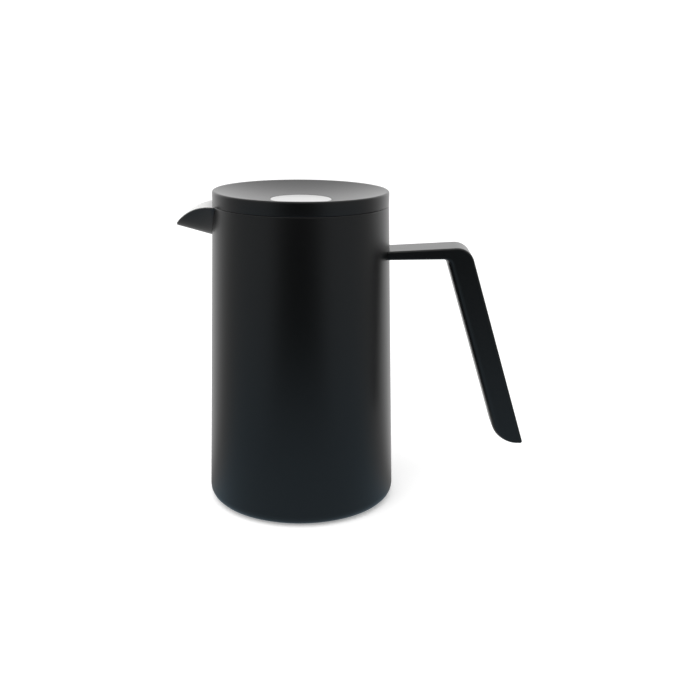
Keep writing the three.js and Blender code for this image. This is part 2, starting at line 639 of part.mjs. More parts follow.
/** A flanged sleeve that the rod slides in, with a groove near its foot for the clip. */
function rodBush() {
  const groove = bushRadius - CLIP_WIDTH / 2;
  const clipZ = hubZ - GAP - CLIP_THICK;
  const flangeFoot = plugPlateTopZ + GAP;
  return turned([
    [bushBore, bushBottomZ], [bushRadius, bushBottomZ], [bushRadius, clipZ - GAP], [groove, clipZ - GAP],
    [groove, hubZ], [bushRadius, hubZ], [bushRadius, flangeFoot], [BUSH_FLANGE, flangeFoot],
    [BUSH_FLANGE, flangeFoot + BUSH_FLANGE_THICK], [bushBore, flangeFoot + BUSH_FLANGE_THICK],
  ], COARSE);
}

/** An open spring clip: a ring with a mouth cut in it. */
function bushClip() {
  const inner = bushRadius - CLIP_WIDTH / 2 + GAP;
  const z = hubZ - GAP - CLIP_THICK;
  const mouth = block(
    [0, -CLIP_MOUTH / 2, z - SIZE_EPS],
    [inner + CLIP_WIDTH + CUT_REACH, CLIP_MOUTH / 2, z + CLIP_THICK + SIZE_EPS],
  );
  return carve(ring(inner, inner + CLIP_WIDTH, z, z + CLIP_THICK), [mouth]);
}

add('lid_insert', lidInsert(), blackPlastic);
add('lid_seal', lidSeal(), silicone);
add('pour_strainer', pourStrainer(), steel);
add('lid_underplate', underplate(), steel);
lidScrewPlaces.forEach(([x, y], i) => {
  const bottom = underplateZ - GAP - LID_SCREW_HEAD_THICK;
  add(`lid_screw_${i + 1}`, screw(x, y, LID_SCREW_HEAD, LID_SCREW_HEAD_THICK, LID_SCREW_SHANK, bottom,
    LID_SCREW_LENGTH), steel);
});
add('rod_bush', rodBush(), blackPlastic);
add('bush_clip', bushClip(), steel);

// ---------------------------------------------------------------- plunger

/** The pressed black disc: a skirt, a rounded edge, the dish and a flat seat for the inlay. */
function pressDisc() {
  const seatRadius = INLAY_RADIUS + GAP;
  const dish = Array.from({ length: DISH_STEPS + 1 }, (_, i) => {
    const r = dishRadius + ((seatRadius - dishRadius) * i) / DISH_STEPS;
    return [r, dishZ(r)];
  });
  const under = dish.filter(([r]) => r > seatRadius + DISC_WALL && r < RIM_RADIUS - 2 * DISC_WALL)
    .map(([r, z]) => [r, z - DISC_WALL]).reverse();
  const underSeat = seatRadius + DISC_WALL;
  return turned([
    [BOSS_RADIUS + GAP, seatZ], [seatRadius, seatZ],
    ...dish.reverse(),
    ...arc(RIM_RADIUS - DISC_EDGE, discTopZ - DISC_EDGE, DISC_EDGE, 60, 0, 2),
    [RIM_RADIUS, discBottomZ], [RIM_RADIUS - DISC_WALL, discBottomZ],
    [RIM_RADIUS - DISC_WALL, discTopZ - 2 * DISC_WALL],
    ...under.reverse(),
    [underSeat, dishZ(underSeat) - DISC_WALL], [underSeat, seatZ - DISC_WALL],
    [BOSS_RADIUS + GAP, seatZ - DISC_WALL],
  ]);
}

/** The steel centre: a disc flush in the dish, with a tapped boss that takes the rod. */
function pressInlay() {
  const bore = ROD_RADIUS + GAP;
  const bottom = seatZ + GAP;
  return turned([
    [0, inlayTopZ], [INLAY_RADIUS - GAP, inlayTopZ], [INLAY_RADIUS, inlayTopZ - GAP], [INLAY_RADIUS, bottom],
    [BOSS_RADIUS, bottom], [BOSS_RADIUS, bossBottomZ], [bore, bossBottomZ], [bore, bottom - BOSS_ROOF],
    [0, bottom - BOSS_ROOF],
  ], FINE);
}

/** The moulded core that closes the disc's underside and is clamped by the boss nut. */
function pressCore() {
  const edge = RIM_RADIUS - DISC_WALL - PLUG_CLEARANCE;
  const pan = plugRadius - PLUG_WALL - 3 * PLUG_CLEARANCE;
  const stepZ = flangeZ + FLANGE_THICK + PLUG_CLEARANCE;
  const edgeTop = discTopZ - 2 * DISC_WALL - 2 * GAP;
  const hubTop = seatZ - DISC_WALL - GAP;
  const hubEdge = INLAY_RADIUS + GAP + DISC_WALL + GAP;
  return turned([
    [BOSS_RADIUS + GAP, coreZ], [pan, coreZ], [pan, stepZ], [edge, stepZ], [edge, edgeTop],
    [edge - CORE_WALL, edgeTop], [edge - CORE_WALL, stepZ + CORE_WALL],
    [pan - CORE_WALL, stepZ + CORE_WALL], [pan - CORE_WALL, coreZ + CORE_WALL],
    [hubEdge + CORE_WALL, coreZ + CORE_WALL], [hubEdge, hubTop], [BOSS_RADIUS + GAP, hubTop],
  ]);
}

/** The domed plate over the filter, with ports that let the coffee up. */
function springPlate() {
  const bore = ROD_RADIUS + GAP;
  const top = domeEdgeZ + PLATE_DOME;
  const slopeEnd = domeEdgeRadius - PLATE_BRIM;
  const body = turned([
    [bore, top], [PLATE_FLAT, top], [slopeEnd, domeEdgeZ], [domeEdgeRadius, domeEdgeZ],
    [domeEdgeRadius, domeEdgeZ + PLATE_THICK], [slopeEnd, domeEdgeZ + PLATE_THICK],
    [PLATE_FLAT, top + PLATE_THICK], [bore, top + PLATE_THICK],
  ], FINE);
  const ports = around(DOME_PORTS, (PLATE_FLAT + slopeEnd) / 2).map(([x, y]) =>
    post(x, y, PORT_RADIUS, domeEdgeZ - SIZE_EPS, PLATE_DOME + PLATE_THICK + 2 * SIZE_EPS));
  return carve(body, ports);
}

/** The coil round the filter's edge, as the ring that its turns fill. */
function edgeSpring() {
  return turned(arc(coilRadius, coilZ, COIL_RADIUS, 0, 360, 8).slice(0, -1), FINE);
}

function crossPlate() {
  const radius = coilRadius - CROSS_INSET;
  const rim = arc(0, 0, radius, 0, 360, FINE).slice(0, -1);
  const ports = around(CROSS_PORTS, radius - CROSS_PORT_INSET).map(([x, y]) => [x, y, PORT_RADIUS]);
  return plate(rim, [[0, 0, ROD_RADIUS + GAP], ...ports], crossZ, PLATE_THICK, COARSE / 2);
}

const rodTopZ = seatZ + GAP - BOSS_ROOF - GAP;
const rodBottomZ = filterNutZ - ROD_TAIL;
const screenRadius = coilRadius + COIL_RADIUS / 2;
add('press_disc', pressDisc(), blackCoat);
add('press_inlay', pressInlay(), steel);
add('press_core', pressCore(), blackPlastic);
add('boss_nut', hexNut(NUT_FLATS, BOSS_RADIUS + GAP, coreZ - GAP - NUT_THICK, NUT_THICK), steel);
add('plunger_rod', turned([
  [0, rodBottomZ], [ROD_RADIUS, rodBottomZ], [ROD_RADIUS, rodTopZ], [0, rodTopZ],
], COARSE), steel);
add('rod_collar', ring(ROD_RADIUS + GAP, COLLAR_RADIUS, collarZ, collarZ + COLLAR_HEIGHT), steel);
add('spring_plate', springPlate(), steel);
add('edge_spring', edgeSpring(), steel);
add('mesh_screen', ring(ROD_RADIUS + GAP, screenRadius, screenZ, screenZ + SCREEN_THICK, FINE), steel);
add('cross_plate', crossPlate(), steel);
add('filter_nut', hexNut(FILTER_NUT_FLATS, ROD_RADIUS + GAP, filterNutZ, FILTER_NUT_THICK), steel);

export default press;
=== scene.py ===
"""French press: the visual model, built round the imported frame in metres.

Each sub-assembly is a class that holds its sizes and makes its pieces. Places come from the frame's boxes.
"""

import json
import logging
import math
from collections.abc import Callable, Iterable, Sequence
from dataclasses import dataclass, field
from enum import Enum

import bmesh
import bpy
from mathutils import Euler, Matrix, Vector

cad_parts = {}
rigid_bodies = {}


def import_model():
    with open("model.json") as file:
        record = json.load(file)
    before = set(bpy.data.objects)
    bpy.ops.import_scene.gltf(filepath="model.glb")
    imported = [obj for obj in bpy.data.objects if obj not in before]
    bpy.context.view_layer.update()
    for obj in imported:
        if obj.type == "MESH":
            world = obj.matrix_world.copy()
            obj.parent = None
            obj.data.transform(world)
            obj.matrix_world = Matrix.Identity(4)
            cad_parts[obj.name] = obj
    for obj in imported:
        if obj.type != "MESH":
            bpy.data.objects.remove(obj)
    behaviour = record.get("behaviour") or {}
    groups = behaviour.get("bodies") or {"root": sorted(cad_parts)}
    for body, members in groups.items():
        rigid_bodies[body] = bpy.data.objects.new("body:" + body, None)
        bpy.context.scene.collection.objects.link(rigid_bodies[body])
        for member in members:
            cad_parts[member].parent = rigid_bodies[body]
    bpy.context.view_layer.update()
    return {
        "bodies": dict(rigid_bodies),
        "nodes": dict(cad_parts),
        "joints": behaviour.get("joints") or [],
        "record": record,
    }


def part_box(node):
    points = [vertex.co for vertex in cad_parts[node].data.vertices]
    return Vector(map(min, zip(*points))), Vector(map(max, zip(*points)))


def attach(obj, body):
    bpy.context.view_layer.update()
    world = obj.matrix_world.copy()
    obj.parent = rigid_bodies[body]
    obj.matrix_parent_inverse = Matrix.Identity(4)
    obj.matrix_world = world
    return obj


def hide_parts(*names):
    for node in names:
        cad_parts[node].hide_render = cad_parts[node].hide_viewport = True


MM = 0.001
FULL_TURN = 2 * math.pi
WELD_REACH = 5e-7  # metres: vertices closer than this are one
log = logging.getLogger("french_press")

Corner = tuple[float, float, float]  # radius, height and fillet, in millimetres
Point = tuple[float, float]
Level = float | bpy.types.NodeSocket  # a constant or another node's output


class Body(Enum):
    """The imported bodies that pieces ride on."""

    VESSEL = "vessel"
    SEAL = "seal"
    LID = "lid"
    PLUNGER = "plunger"


class Slot(Enum):
    """The record's material slots."""

    COAT = "black_coat"
    STEEL = "steel"
    PLASTIC = "black_plastic"
    SILICONE = "silicone"


class Grain(Enum):
    """How the fine lines of a steel surface run."""

    ROUND_AXIS = "round_axis"  # circles about the press's axis, as on a turned or spun face
    UPRIGHT = "upright"  # lines along the axis, as on drawn rod
    PLAIN = "plain"  # no direction


# ------------------------------------------------------------------ node building


class Graph:
    """A node tree under construction."""

    def __init__(self, tree: bpy.types.NodeTree) -> None:
        """Starts on an empty tree.

        Args:
            tree: the shader or geometry tree to fill.
        """
        self.tree = tree

    def add(self, kind: str, inputs: dict | None = None, **props: object) -> bpy.types.Node:
        """Adds one node.

        Args:
            kind: the node's type name.
            inputs: values or output sockets for its inputs, by name or by index.
            props: settings of the node itself.

        Returns:
            The new node.
        """
        node = self.tree.nodes.new(kind)
        for name, value in props.items():
            setattr(node, name, value)
        for key, value in (inputs or {}).items():
            if isinstance(value, bpy.types.NodeSocket):
                self.tree.links.new(value, node.inputs[key])
            else:
                node.inputs[key].default_value = value
        return node

    def math(self, operation: str, *values: Level) -> bpy.types.NodeSocket:
        """One scalar operation; returns its result socket."""
        inputs = dict(enumerate(values))
        return self.add("ShaderNodeMath", inputs, operation=operation).outputs[0]

    def fade(
        self, value: bpy.types.NodeSocket, start: float, end: float, low: Level, high: Level
    ) -> bpy.types.NodeSocket:
        """A smooth step from one level to another.

        Args:
            value: what is measured.
            start: where the first level ends.
            end: where the second level begins.
            low: the first level.
            high: the second level.

        Returns:
            The level's socket.
        """
        inputs = {"Value": value, 1: start, 2: end, 3: low, 4: high}
        return self.add("ShaderNodeMapRange", inputs, interpolation_type="SMOOTHSTEP").outputs[0]

    def vector(self, x: Level, y: Level, z: Level) -> bpy.types.NodeSocket:
        """A vector from three values or sockets."""
        return self.add("ShaderNodeCombineXYZ", {0: x, 1: y, 2: z}).outputs[0]


# ------------------------------------------------------------------ finishes


@dataclass(frozen=True)
class Finish:
    """A surface finish that becomes one procedural material on Object coordinates."""

    name: str
    color: tuple[float, float, float]
    roughness: float
    roughness_spread: float
    grain_scale: float  # noise cells per metre of the fine texture
    grain_depth: float  # height of the fine texture, in metres
    cloud_scale: float = 22.0  # noise cells per metre of the slow variation
    cloud_tint: float = 0.12  # how much the slow variation changes the colour

    def start(self) -> tuple[bpy.types.Material, Graph, bpy.types.Node, bpy.types.NodeSocket]:
        """A new material with an output, a principled shader and the Object coordinates.

        Returns:
            The material, its graph, the principled shader and the coordinate socket.
        """
        material = bpy.data.materials.new(self.name)
        material.use_nodes = True
        material.node_tree.nodes.clear()
        graph = Graph(material.node_tree)
        shader = graph.add("ShaderNodeBsdfPrincipled")
        graph.add("ShaderNodeOutputMaterial", {"Surface": shader.outputs[0]})
        place = graph.add("ShaderNodeTexCoord").outputs["Object"]
        return material, graph, shader, place

    def tint(self, graph: Graph, place: bpy.types.NodeSocket) -> bpy.types.NodeSocket:
        """The base colour, slightly clouded.

        Args:
            graph: the material's graph.
            place: the coordinate socket.

        Returns:
            The colour socket.
        """
        cloud = graph.add(
            "ShaderNodeTexNoise", {"Vector": place, "Scale": self.cloud_scale, "Detail": 3.0}
        )
        dark = tuple(c * (1 - self.cloud_tint) for c in self.color)
        light = tuple(c * (1 + self.cloud_tint) for c in self.color)
        mix = graph.add("ShaderNodeMix", data_type="RGBA")
        graph.tree.links.new(cloud.outputs["Fac"], mix.inputs["Factor"])
        mix.inputs[6].default_value = (*dark, 1)
        mix.inputs[7].default_value = (*light, 1)
        return mix.outputs[2]

    def rough(self, graph: Graph, source: bpy.types.NodeSocket) -> bpy.types.NodeSocket:
        """Roughness spread about its mean by a noise value.

        Args:
            graph: the material's graph.
            source: the noise value, about 0 to 1.

        Returns:
            The roughness socket.
        """
        spread = self.roughness_spread
        ranged = graph.add(
            "ShaderNodeMapRange",
            {"Value": source, 3: self.roughness - spread, 4: self.roughness + spread},
        )
        return ranged.outputs[0]

    def bump(self, graph: Graph, height: bpy.types.NodeSocket) -> bpy.types.NodeSocket:
        """A normal from a height between 0 and 1."""
        node = graph.add("ShaderNodeBump", {"Height": height, "Distance": self.grain_depth})
        return node.outputs[0]

    def material(self) -> bpy.types.Material:
        """The material, made once and then shared."""
        return bpy.data.materials.get(self.name) or self.build()

    def build(self) -> bpy.types.Material:
        """A finely textured skin: clouded colour, uneven roughness and a pebbled surface.

        Returns:
            The new material.
        """
        material, graph, shader, place = self.start()
        fine = graph.add(
            "ShaderNodeTexNoise", {"Vector": place, "Scale": self.grain_scale, "Detail": 4.0}
        )
        links = graph.tree.links
        links.new(self.tint(graph, place), shader.inputs["Base Color"])
        links.new(self.rough(graph, fine.outputs["Fac"]), shader.inputs["Roughness"])
        links.new(self.bump(graph, fine.outputs["Fac"]), shader.inputs["Normal"])
        return material


@dataclass(frozen=True)
class SteelFinish(Finish):
    """Stainless steel with fine lines that follow how the piece was worked."""

    grain: Grain = Grain.ROUND_AXIS
    line_scale: float = 5200.0  # lines per metre across the grain
    along_scale: float = 3.0  # variation along the grain
    metallic: float = 1.0

    def lines(self, graph: Graph, place: bpy.types.NodeSocket) -> bpy.types.NodeSocket:
        """Coordinates stretched along the grain.

        Args:
            graph: the material's graph.
            place: the Object coordinates.

        Returns:
            The stretched coordinate socket.
        """
        axis = graph.add("ShaderNodeSeparateXYZ", {0: place})
        x, y, z = axis.outputs[:3]
        squares = graph.math("ADD", graph.math("MULTIPLY", x, x), graph.math("MULTIPLY", y, y))
        reach = graph.math("SQRT", squares)
        if self.grain is Grain.ROUND_AXIS:
            across = graph.math("MULTIPLY", graph.math("ADD", reach, z), self.line_scale)
            return graph.vector(
                across,
                graph.math("MULTIPLY", graph.math("DIVIDE", x, reach), self.along_scale),
                graph.math("MULTIPLY", graph.math("DIVIDE", y, reach), self.along_scale),
            )
        if self.grain is Grain.UPRIGHT:
            return graph.vector(
                graph.math("MULTIPLY", x, self.line_scale),
                graph.math("MULTIPLY", y, self.line_scale),
                graph.math("MULTIPLY", z, self.along_scale * 10),
            )
        return graph.vector(
            graph.math("MULTIPLY", x, self.line_scale / 4),
            graph.math("MULTIPLY", y, self.line_scale / 4),
            graph.math("MULTIPLY", z, self.line_scale / 4),
        )

    def build(self) -> bpy.types.Material:
        """Metal whose roughness and surface follow the lines.

        Returns:
            The new material.
        """
        material, graph, shader, place = self.start()
        stroke = graph.add(
            "ShaderNodeTexNoise", {"Vector": self.lines(graph, place), "Scale": 1.0, "Detail": 3.0}
        )
        links = graph.tree.links
        shader.inputs["Metallic"].default_value = self.metallic
        links.new(self.tint(graph, place), shader.inputs["Base Color"])
        links.new(self.rough(graph, stroke.outputs["Fac"]), shader.inputs["Roughness"])
        links.new(self.bump(graph, stroke.outputs["Fac"]), shader.inputs["Normal"])
        return material


POWDER_COAT = Finish("satin_powder_coat", (0.0019, 0.0021, 0.0023), 0.34, 0.03, 2600.0, 0.000004)
GRIP_NYLON = Finish("satin_nylon", (0.0026, 0.0028, 0.0030), 0.34, 0.03, 3600.0, 0.000006)
LID_NYLON = Finish("lid_nylon", (0.016, 0.017, 0.018), 0.5, 0.04, 3200.0, 0.00001)
SILICONE_SKIN = Finish("silicone_skin", (0.024, 0.024, 0.025), 0.72, 0.05, 5200.0, 0.000008)
SPUN_STEEL = SteelFinish("spun_steel", (0.66, 0.66, 0.65), 0.27, 0.06, 0.0, 0.0000012, cloud_tint=0.03)
BUTTON_STEEL = SteelFinish("button_steel", (0.62, 0.62, 0.617), 0.37, 0.05, 0.0, 0.000001, cloud_tint=0.02)
ROD_STEEL = SteelFinish(
    "drawn_rod_steel", (0.68, 0.68, 0.67), 0.18, 0.04, 0.0, 0.0000008, cloud_tint=0.03, grain=Grain.UPRIGHT
)
# Steel inside the beak. Its near-white base colour and low metallic are a painted reflection: they stand in for the
# white surround that the bare steel mirrors.
BEAK_STEEL_PAINTED_SHINE = SteelFinish(
    "satin_beak_steel", (0.95, 0.95, 0.945), 0.45, 0.05, 0.0, 0.000001,
    cloud_tint=0.02, grain=Grain.PLAIN, metallic=0.3,
)
LINER_STEEL = SteelFinish(
    "brushed_liner_steel", (0.8, 0.8, 0.79), 0.38, 0.06, 0.0, 0.0000012, cloud_tint=0.03, metallic=0.6
)
PLAIN_STEEL = SteelFinish(
    "bead_blasted_steel", (0.64, 0.64, 0.63), 0.34, 0.05, 0.0, 0.000002, cloud_tint=0.04, grain=Grain.PLAIN
)


# ------------------------------------------------------------------ mesh building


def rounded(corners: Sequence[Corner], steps: int = 5) -> list[Point]:
    """An outline in metres whose corners are rounded by arcs.

    Args:
        corners: a closed outline in millimetres, each corner with its fillet.
        steps: facets in each arc.

    Returns:
        The outline's points.
    """
    points: list[Point] = []
    for i, (x, y, fillet) in enumerate(corners):
        at = Vector((x, y))
        back = (Vector(corners[i - 1][:2]) - at).normalized()
        ahead = (Vector(corners[(i + 1) % len(corners)][:2]) - at).normalized()
        half = math.acos(max(-1.0, min(1.0, back.dot(ahead)))) / 2
        if not fillet or half > math.radians(89):
            points.append((x * MM, y * MM))
            continue
        centre = at + (back + ahead).normalized() * (fillet / math.sin(half))
        start = at + back * (fillet / math.tan(half)) - centre
        end = at + ahead * (fillet / math.tan(half)) - centre
        sweep = math.atan2(start.cross(end), start.dot(end))
        for k in range(steps + 1):
            arm = Matrix.Rotation(sweep * k / steps, 2) @ start
            points.append(((centre.x + arm.x) * MM, (centre.y + arm.y) * MM))
    return points


def object_of(name: str, bm: bmesh.types.BMesh, sharp: float = 35.0) -> bpy.types.Object:
    """A smooth-shaded object from a closed mesh, with its faces pointing out.

    Args:
        name: the piece's name.
        bm: the mesh, freed here.
        sharp: edges that turn by more than this many degrees stay crisp.

    Returns:
        The linked object at the origin.
    """
    bmesh.ops.remove_doubles(bm, verts=bm.verts, dist=1e-7)
    bmesh.ops.recalc_face_normals(bm, faces=bm.faces)
    mesh = bpy.data.meshes.new(name)
    bm.to_mesh(mesh)
    bm.free()
    mesh.shade_smooth()
    mesh.set_sharp_from_angle(angle=math.radians(sharp))
    made = bpy.data.objects.new(name, mesh)
    bpy.context.scene.collection.objects.link(made)
    return made


def turned(name: str, corners: Sequence[Corner], facets: int = 160) -> bpy.types.Object:
    """A piece turned about the Z axis.

    Args:
        name: the piece's name.
        corners: the closed outline in millimetres; it may start and end on the axis.
        facets: facets round the axis.

    Returns:
        The new object.
    """
    outline = rounded(corners)
    bm = bmesh.new()
    loops: list[list[bmesh.types.BMVert]] = []
    for radius, height in outline:
        if radius < 1e-7:
            loops.append([bm.verts.new((0, 0, height))])
            continue
        angles = [FULL_TURN * i / facets for i in range(facets)]
        loops.append([bm.verts.new((radius * math.cos(a), radius * math.sin(a), height)) for a in angles])
    for k, loop in enumerate(loops):
        nxt = loops[(k + 1) % len(loops)]
        for i in range(facets):
            j = (i + 1) % facets
            ring = [loop[i % len(loop)], loop[j % len(loop)], nxt[j % len(nxt)], nxt[i % len(nxt)]]
            face = list(dict.fromkeys(ring))
            if len(face) > 2:
                bm.faces.new(face)
    return object_of(name, bm)


def prism(
    name: str, outline: Sequence[Point], bottom: float, top: float, bore: float = 0.0
) -> bpy.types.Object:
    """A flat-sided piece with an optional round bore through it.

    Args:
        name: the piece's name.
        outline: points in plan, in metres.
        bottom: its lower face, in metres.
        top: its upper face, in metres.
        bore: radius of a hole through it, in metres, or 0.

    Returns:
        The new object.
    """
    bm = bmesh.new()
    low = [bm.verts.new((x, y, bottom)) for x, y in outline]
    face = bm.faces.new(low)
    grown = bmesh.ops.extrude_face_region(bm, geom=[face])
    raised = [v for v in grown["geom"] if isinstance(v, bmesh.types.BMVert)]
    bmesh.ops.translate(bm, verts=raised, vec=(0, 0, top - bottom))
    made = object_of(name, bm, 25)
    if bore:
        height = (top - bottom) / MM
        tool = turned(
            f"{name}_bore",
            [(0, bottom / MM - height, 0), (bore / MM, bottom / MM - height, 0),
             (bore / MM, top / MM + height, 0), (0, top / MM + height, 0)],
            64,
        )
        cut(made, [tool])
    return made


def welded(mesh: bpy.types.Mesh) -> None:
    """Joins vertices that share a place and removes the slivers that a boolean leaves.

    Args:
        mesh: the mesh, changed in place.
    """
    bm = bmesh.new()
    bm.from_mesh(mesh)
    bmesh.ops.remove_doubles(bm, verts=bm.verts, dist=WELD_REACH)
    bmesh.ops.dissolve_degenerate(bm, dist=WELD_REACH, edges=bm.edges)
    bm.to_mesh(mesh)
    bm.free()


def baked(piece: bpy.types.Object) -> bpy.types.Object:
    """The piece with its modifiers turned into plain, welded mesh.

    Args:
        piece: an object whose modifiers are all meant to stay.

    Returns:
        The same object.
    """
    graph = bpy.context.evaluated_depsgraph_get()
    graph.update()
    mesh = bpy.data.meshes.new_from_object(piece.evaluated_get(graph), depsgraph=graph)
    mesh.name = piece.name
    welded(mesh)
    old = piece.data
    piece.modifiers.clear()
    piece.data = mesh
    bpy.data.meshes.remove(old)
    return piece


def cut(piece: bpy.types.Object, tools: Iterable[bpy.types.Object], sharp: float = 35.0) -> bpy.types.Object:
    """Cuts closed tools away from a piece and removes them.

    Args:
        piece: the piece that is cut.
        tools: the closed solids to take away.
        sharp: edges that turn by more than this many degrees stay crisp.

    Returns:
        The same piece.
    """
    for tool in tools:
        step = piece.modifiers.new("cut", "BOOLEAN")
        step.operation = "DIFFERENCE"
        step.solver = "EXACT"
        step.object = tool
        baked(piece)
        bpy.data.objects.remove(tool)
    piece.data.shade_smooth()
    piece.data.set_sharp_from_angle(angle=math.radians(sharp))
    return piece


def place(
    piece: bpy.types.Object, body: Body, slot: Slot, finish: Finish | None, nodes: Sequence[str]
) -> bpy.types.Object:
    """Dresses a finished piece and hands it to the frame.

    Args:
        piece: the piece, at the origin.
        body: what it moves with.
        slot: the record's material slot; not used.
        finish: its finish, or None when it has its materials already.
        nodes: the CAD nodes that it stands for.

    Returns:
        The same piece.
    """
    if finish is not None:
        piece.data.materials.clear()
        piece.data.materials.append(finish.material())
    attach(piece, body.value)
    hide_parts(*nodes)
    log.info("%s: %d faces, rides on %s", piece.name, len(piece.data.polygons), body.value)
    return piece


def dress_node(frame: dict, node: str, finish: Finish) -> None:
    """Gives a CAD node that stays in view its finish.

    Args:
        node: the node's name.
        finish: its finish.
    """
    piece = frame["nodes"][node]
    piece.data.materials.clear()
    piece.data.materials.append(finish.material())
    log.info("%s: the frame's own mesh", node)


@dataclass(frozen=True)
class Line:
    """A straight line of an outline."""

    at: Vector
    way: Vector

    def meets(self, other: "Line") -> Vector:
        """The point where it meets another line.

        Args:
            other: a line that isn't parallel to it.

        Returns:
            The point.
        """
        gap = other.at - self.at
        across = self.way.x * other.way.y - self.way.y * other.way.x
        run = (gap.x * other.way.y - gap.y * other.way.x) / across
        return self.at + self.way * run


@dataclass(frozen=True)
class Span:
    """Where a CAD node is, in millimetres."""

    low: Vector
    high: Vector

    @classmethod
    def of(cls, node: str) -> "Span":
        """The box of a node."""
        low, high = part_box(node)
        return cls(low / MM, high / MM)

    @property
    def bottom(self) -> float:
        """Lowest height."""
        return self.low.z

    @property
    def top(self) -> float:
        """Greatest height."""
        return self.high.z

    @property
    def radius(self) -> float:
        """Half its width across the axis."""
        return self.high.y


# ------------------------------------------------------------------ geometry nodes


class Pattern:
    """A geometry-nodes tree with named inputs, run on a piece and turned into plain mesh."""

    def __init__(self, name: str, inputs: dict[str, str]) -> None:
        """Makes the tree and its inputs.

        Args:
            name: the tree's name.
            inputs: socket type of each named input.
        """
        self.tree = bpy.data.node_groups.new(name, "GeometryNodeTree")
        self.graph = Graph(self.tree)
        face = self.tree.interface
        face.new_socket("Geometry", in_out="INPUT", socket_type="NodeSocketGeometry")
        for label, kind in inputs.items():
            face.new_socket(label, in_out="INPUT", socket_type=kind)
        face.new_socket("Geometry", in_out="OUTPUT", socket_type="NodeSocketGeometry")
        self.source = self.graph.add("NodeGroupInput").outputs

    def close(self, geometry: bpy.types.NodeSocket) -> "Pattern":
        """Ends the tree: realises what repeats and gives it the material input.

        Args:
            geometry: the finished shape.

        Returns:
            This pattern.
        """
        real = self.graph.add("GeometryNodeRealizeInstances", {0: geometry}).outputs[0]
        smooth = self.graph.add("GeometryNodeSetShadeSmooth", {0: real}).outputs[0]
        painted = self.graph.add(
            "GeometryNodeSetMaterial", {"Geometry": smooth, "Material": self.source["Material"]}
        ).outputs[0]
        self.graph.add("NodeGroupOutput", {0: painted})
        return self

    def apply(self, piece: bpy.types.Object, **values: object) -> bpy.types.Object:
        """Runs the tree on a piece and keeps the result as its mesh.

        Args:
            piece: the object that the tree works on.
            values: a value for each named input, with underscores for spaces.

        Returns:
            The same piece.
        """
        step = piece.modifiers.new(self.tree.name, "NODES")
        step.node_group = self.tree
        for item in self.tree.interface.items_tree:
            key = item.name.replace(" ", "_")
            if item.in_out == "INPUT" and key in values:
                step[item.identifier] = values[key]
        return baked(piece)


def ring_ports() -> Pattern:
    """Round holes on a circle, cut through a plate.

    Returns:
        The pattern, with Count, Ring Radius, Port Radius, Turn, Height, Depth and Material.
    """
    made = Pattern(
        "ring_ports",
        {
            "Count": "NodeSocketInt", "Ring Radius": "NodeSocketFloat", "Port Radius": "NodeSocketFloat",
            "Turn": "NodeSocketFloat", "Height": "NodeSocketFloat", "Depth": "NodeSocketFloat",
            "Material": "NodeSocketMaterial",
        },
    )
    g, src = made.graph, made.source
    circle = g.add("GeometryNodeMeshCircle", {"Vertices": src["Count"], "Radius": src["Ring Radius"]})
    drill = g.add(
        "GeometryNodeMeshCylinder", {"Vertices": 28, "Radius": src["Port Radius"], "Depth": src["Depth"]}
    )
    drills = g.add(
        "GeometryNodeInstanceOnPoints", {"Points": circle.outputs[0], "Instance": drill.outputs[0]})
    moved = g.add(
        "GeometryNodeTransform",
        {
            "Geometry": drills.outputs[0], "Translation": g.vector(0.0, 0.0, src["Height"]),
            "Rotation": g.vector(0.0, 0.0, src["Turn"]),
        },
    )
    real = g.add("GeometryNodeRealizeInstances", {0: moved.outputs[0]})
    bored = g.add("GeometryNodeMeshBoolean", operation="DIFFERENCE", solver="EXACT")
    g.tree.links.new(src["Geometry"], bored.inputs["Mesh 1"])
    g.tree.links.new(real.outputs[0], bored.inputs["Mesh 2"])
    return made.close(bored.outputs[0])


def curved_ports() -> Pattern:
    """Rows of round holes through an upright curved sheet that faces -X.

    Returns:
        The pattern, with Columns, Rows, Spread, Rise, Radius, Port Radius, Height and Material.
    """
    made = Pattern(
        "curved_ports",
        {
            "Columns": "NodeSocketInt", "Rows": "NodeSocketInt", "Spread": "NodeSocketFloat",
            "Rise": "NodeSocketFloat", "Radius": "NodeSocketFloat", "Port Radius": "NodeSocketFloat",
            "Height": "NodeSocketFloat", "Material": "NodeSocketMaterial",
        },
    )
    g, src = made.graph, made.source
    grid = g.add(
        "GeometryNodeMeshGrid",
        {
            "Size X": src["Spread"], "Size Y": src["Rise"],
            "Vertices X": src["Columns"], "Vertices Y": src["Rows"],
        },
    )
    flat = g.add("ShaderNodeSeparateXYZ", {0: g.add("GeometryNodeInputPosition").outputs[0]})
    angle = g.math("ADD", flat.outputs[0], math.pi)
    wrapped = g.add(
        "GeometryNodeSetPosition",
        {
            "Geometry": grid.outputs[0],
            "Position": g.vector(
                g.math("MULTIPLY", src["Radius"], g.math("COSINE", angle)),
                g.math("MULTIPLY", src["Radius"], g.math("SINE", angle)),
                g.math("ADD", src["Height"], flat.outputs[1]),
            ),
        },
    )
    at = g.add("ShaderNodeSeparateXYZ", {0: g.add("GeometryNodeInputPosition").outputs[0]})
    facing = g.vector(0.0, math.pi / 2, g.math("ARCTAN2", at.outputs[1], at.outputs[0]))
    drill = g.add("GeometryNodeMeshCylinder", {"Vertices": 14, "Radius": src["Port Radius"], "Depth": 6 * MM})
    drills = g.add(
        "GeometryNodeInstanceOnPoints",
        {"Points": wrapped.outputs[0], "Instance": drill.outputs[0], "Rotation": facing},
    )
    real = g.add("GeometryNodeRealizeInstances", {0: drills.outputs[0]})
    bored = g.add("GeometryNodeMeshBoolean", operation="DIFFERENCE", solver="EXACT")
    g.tree.links.new(src["Geometry"], bored.inputs["Mesh 1"])
    g.tree.links.new(real.outputs[0], bored.inputs["Mesh 2"])
    return made.close(bored.outputs[0])


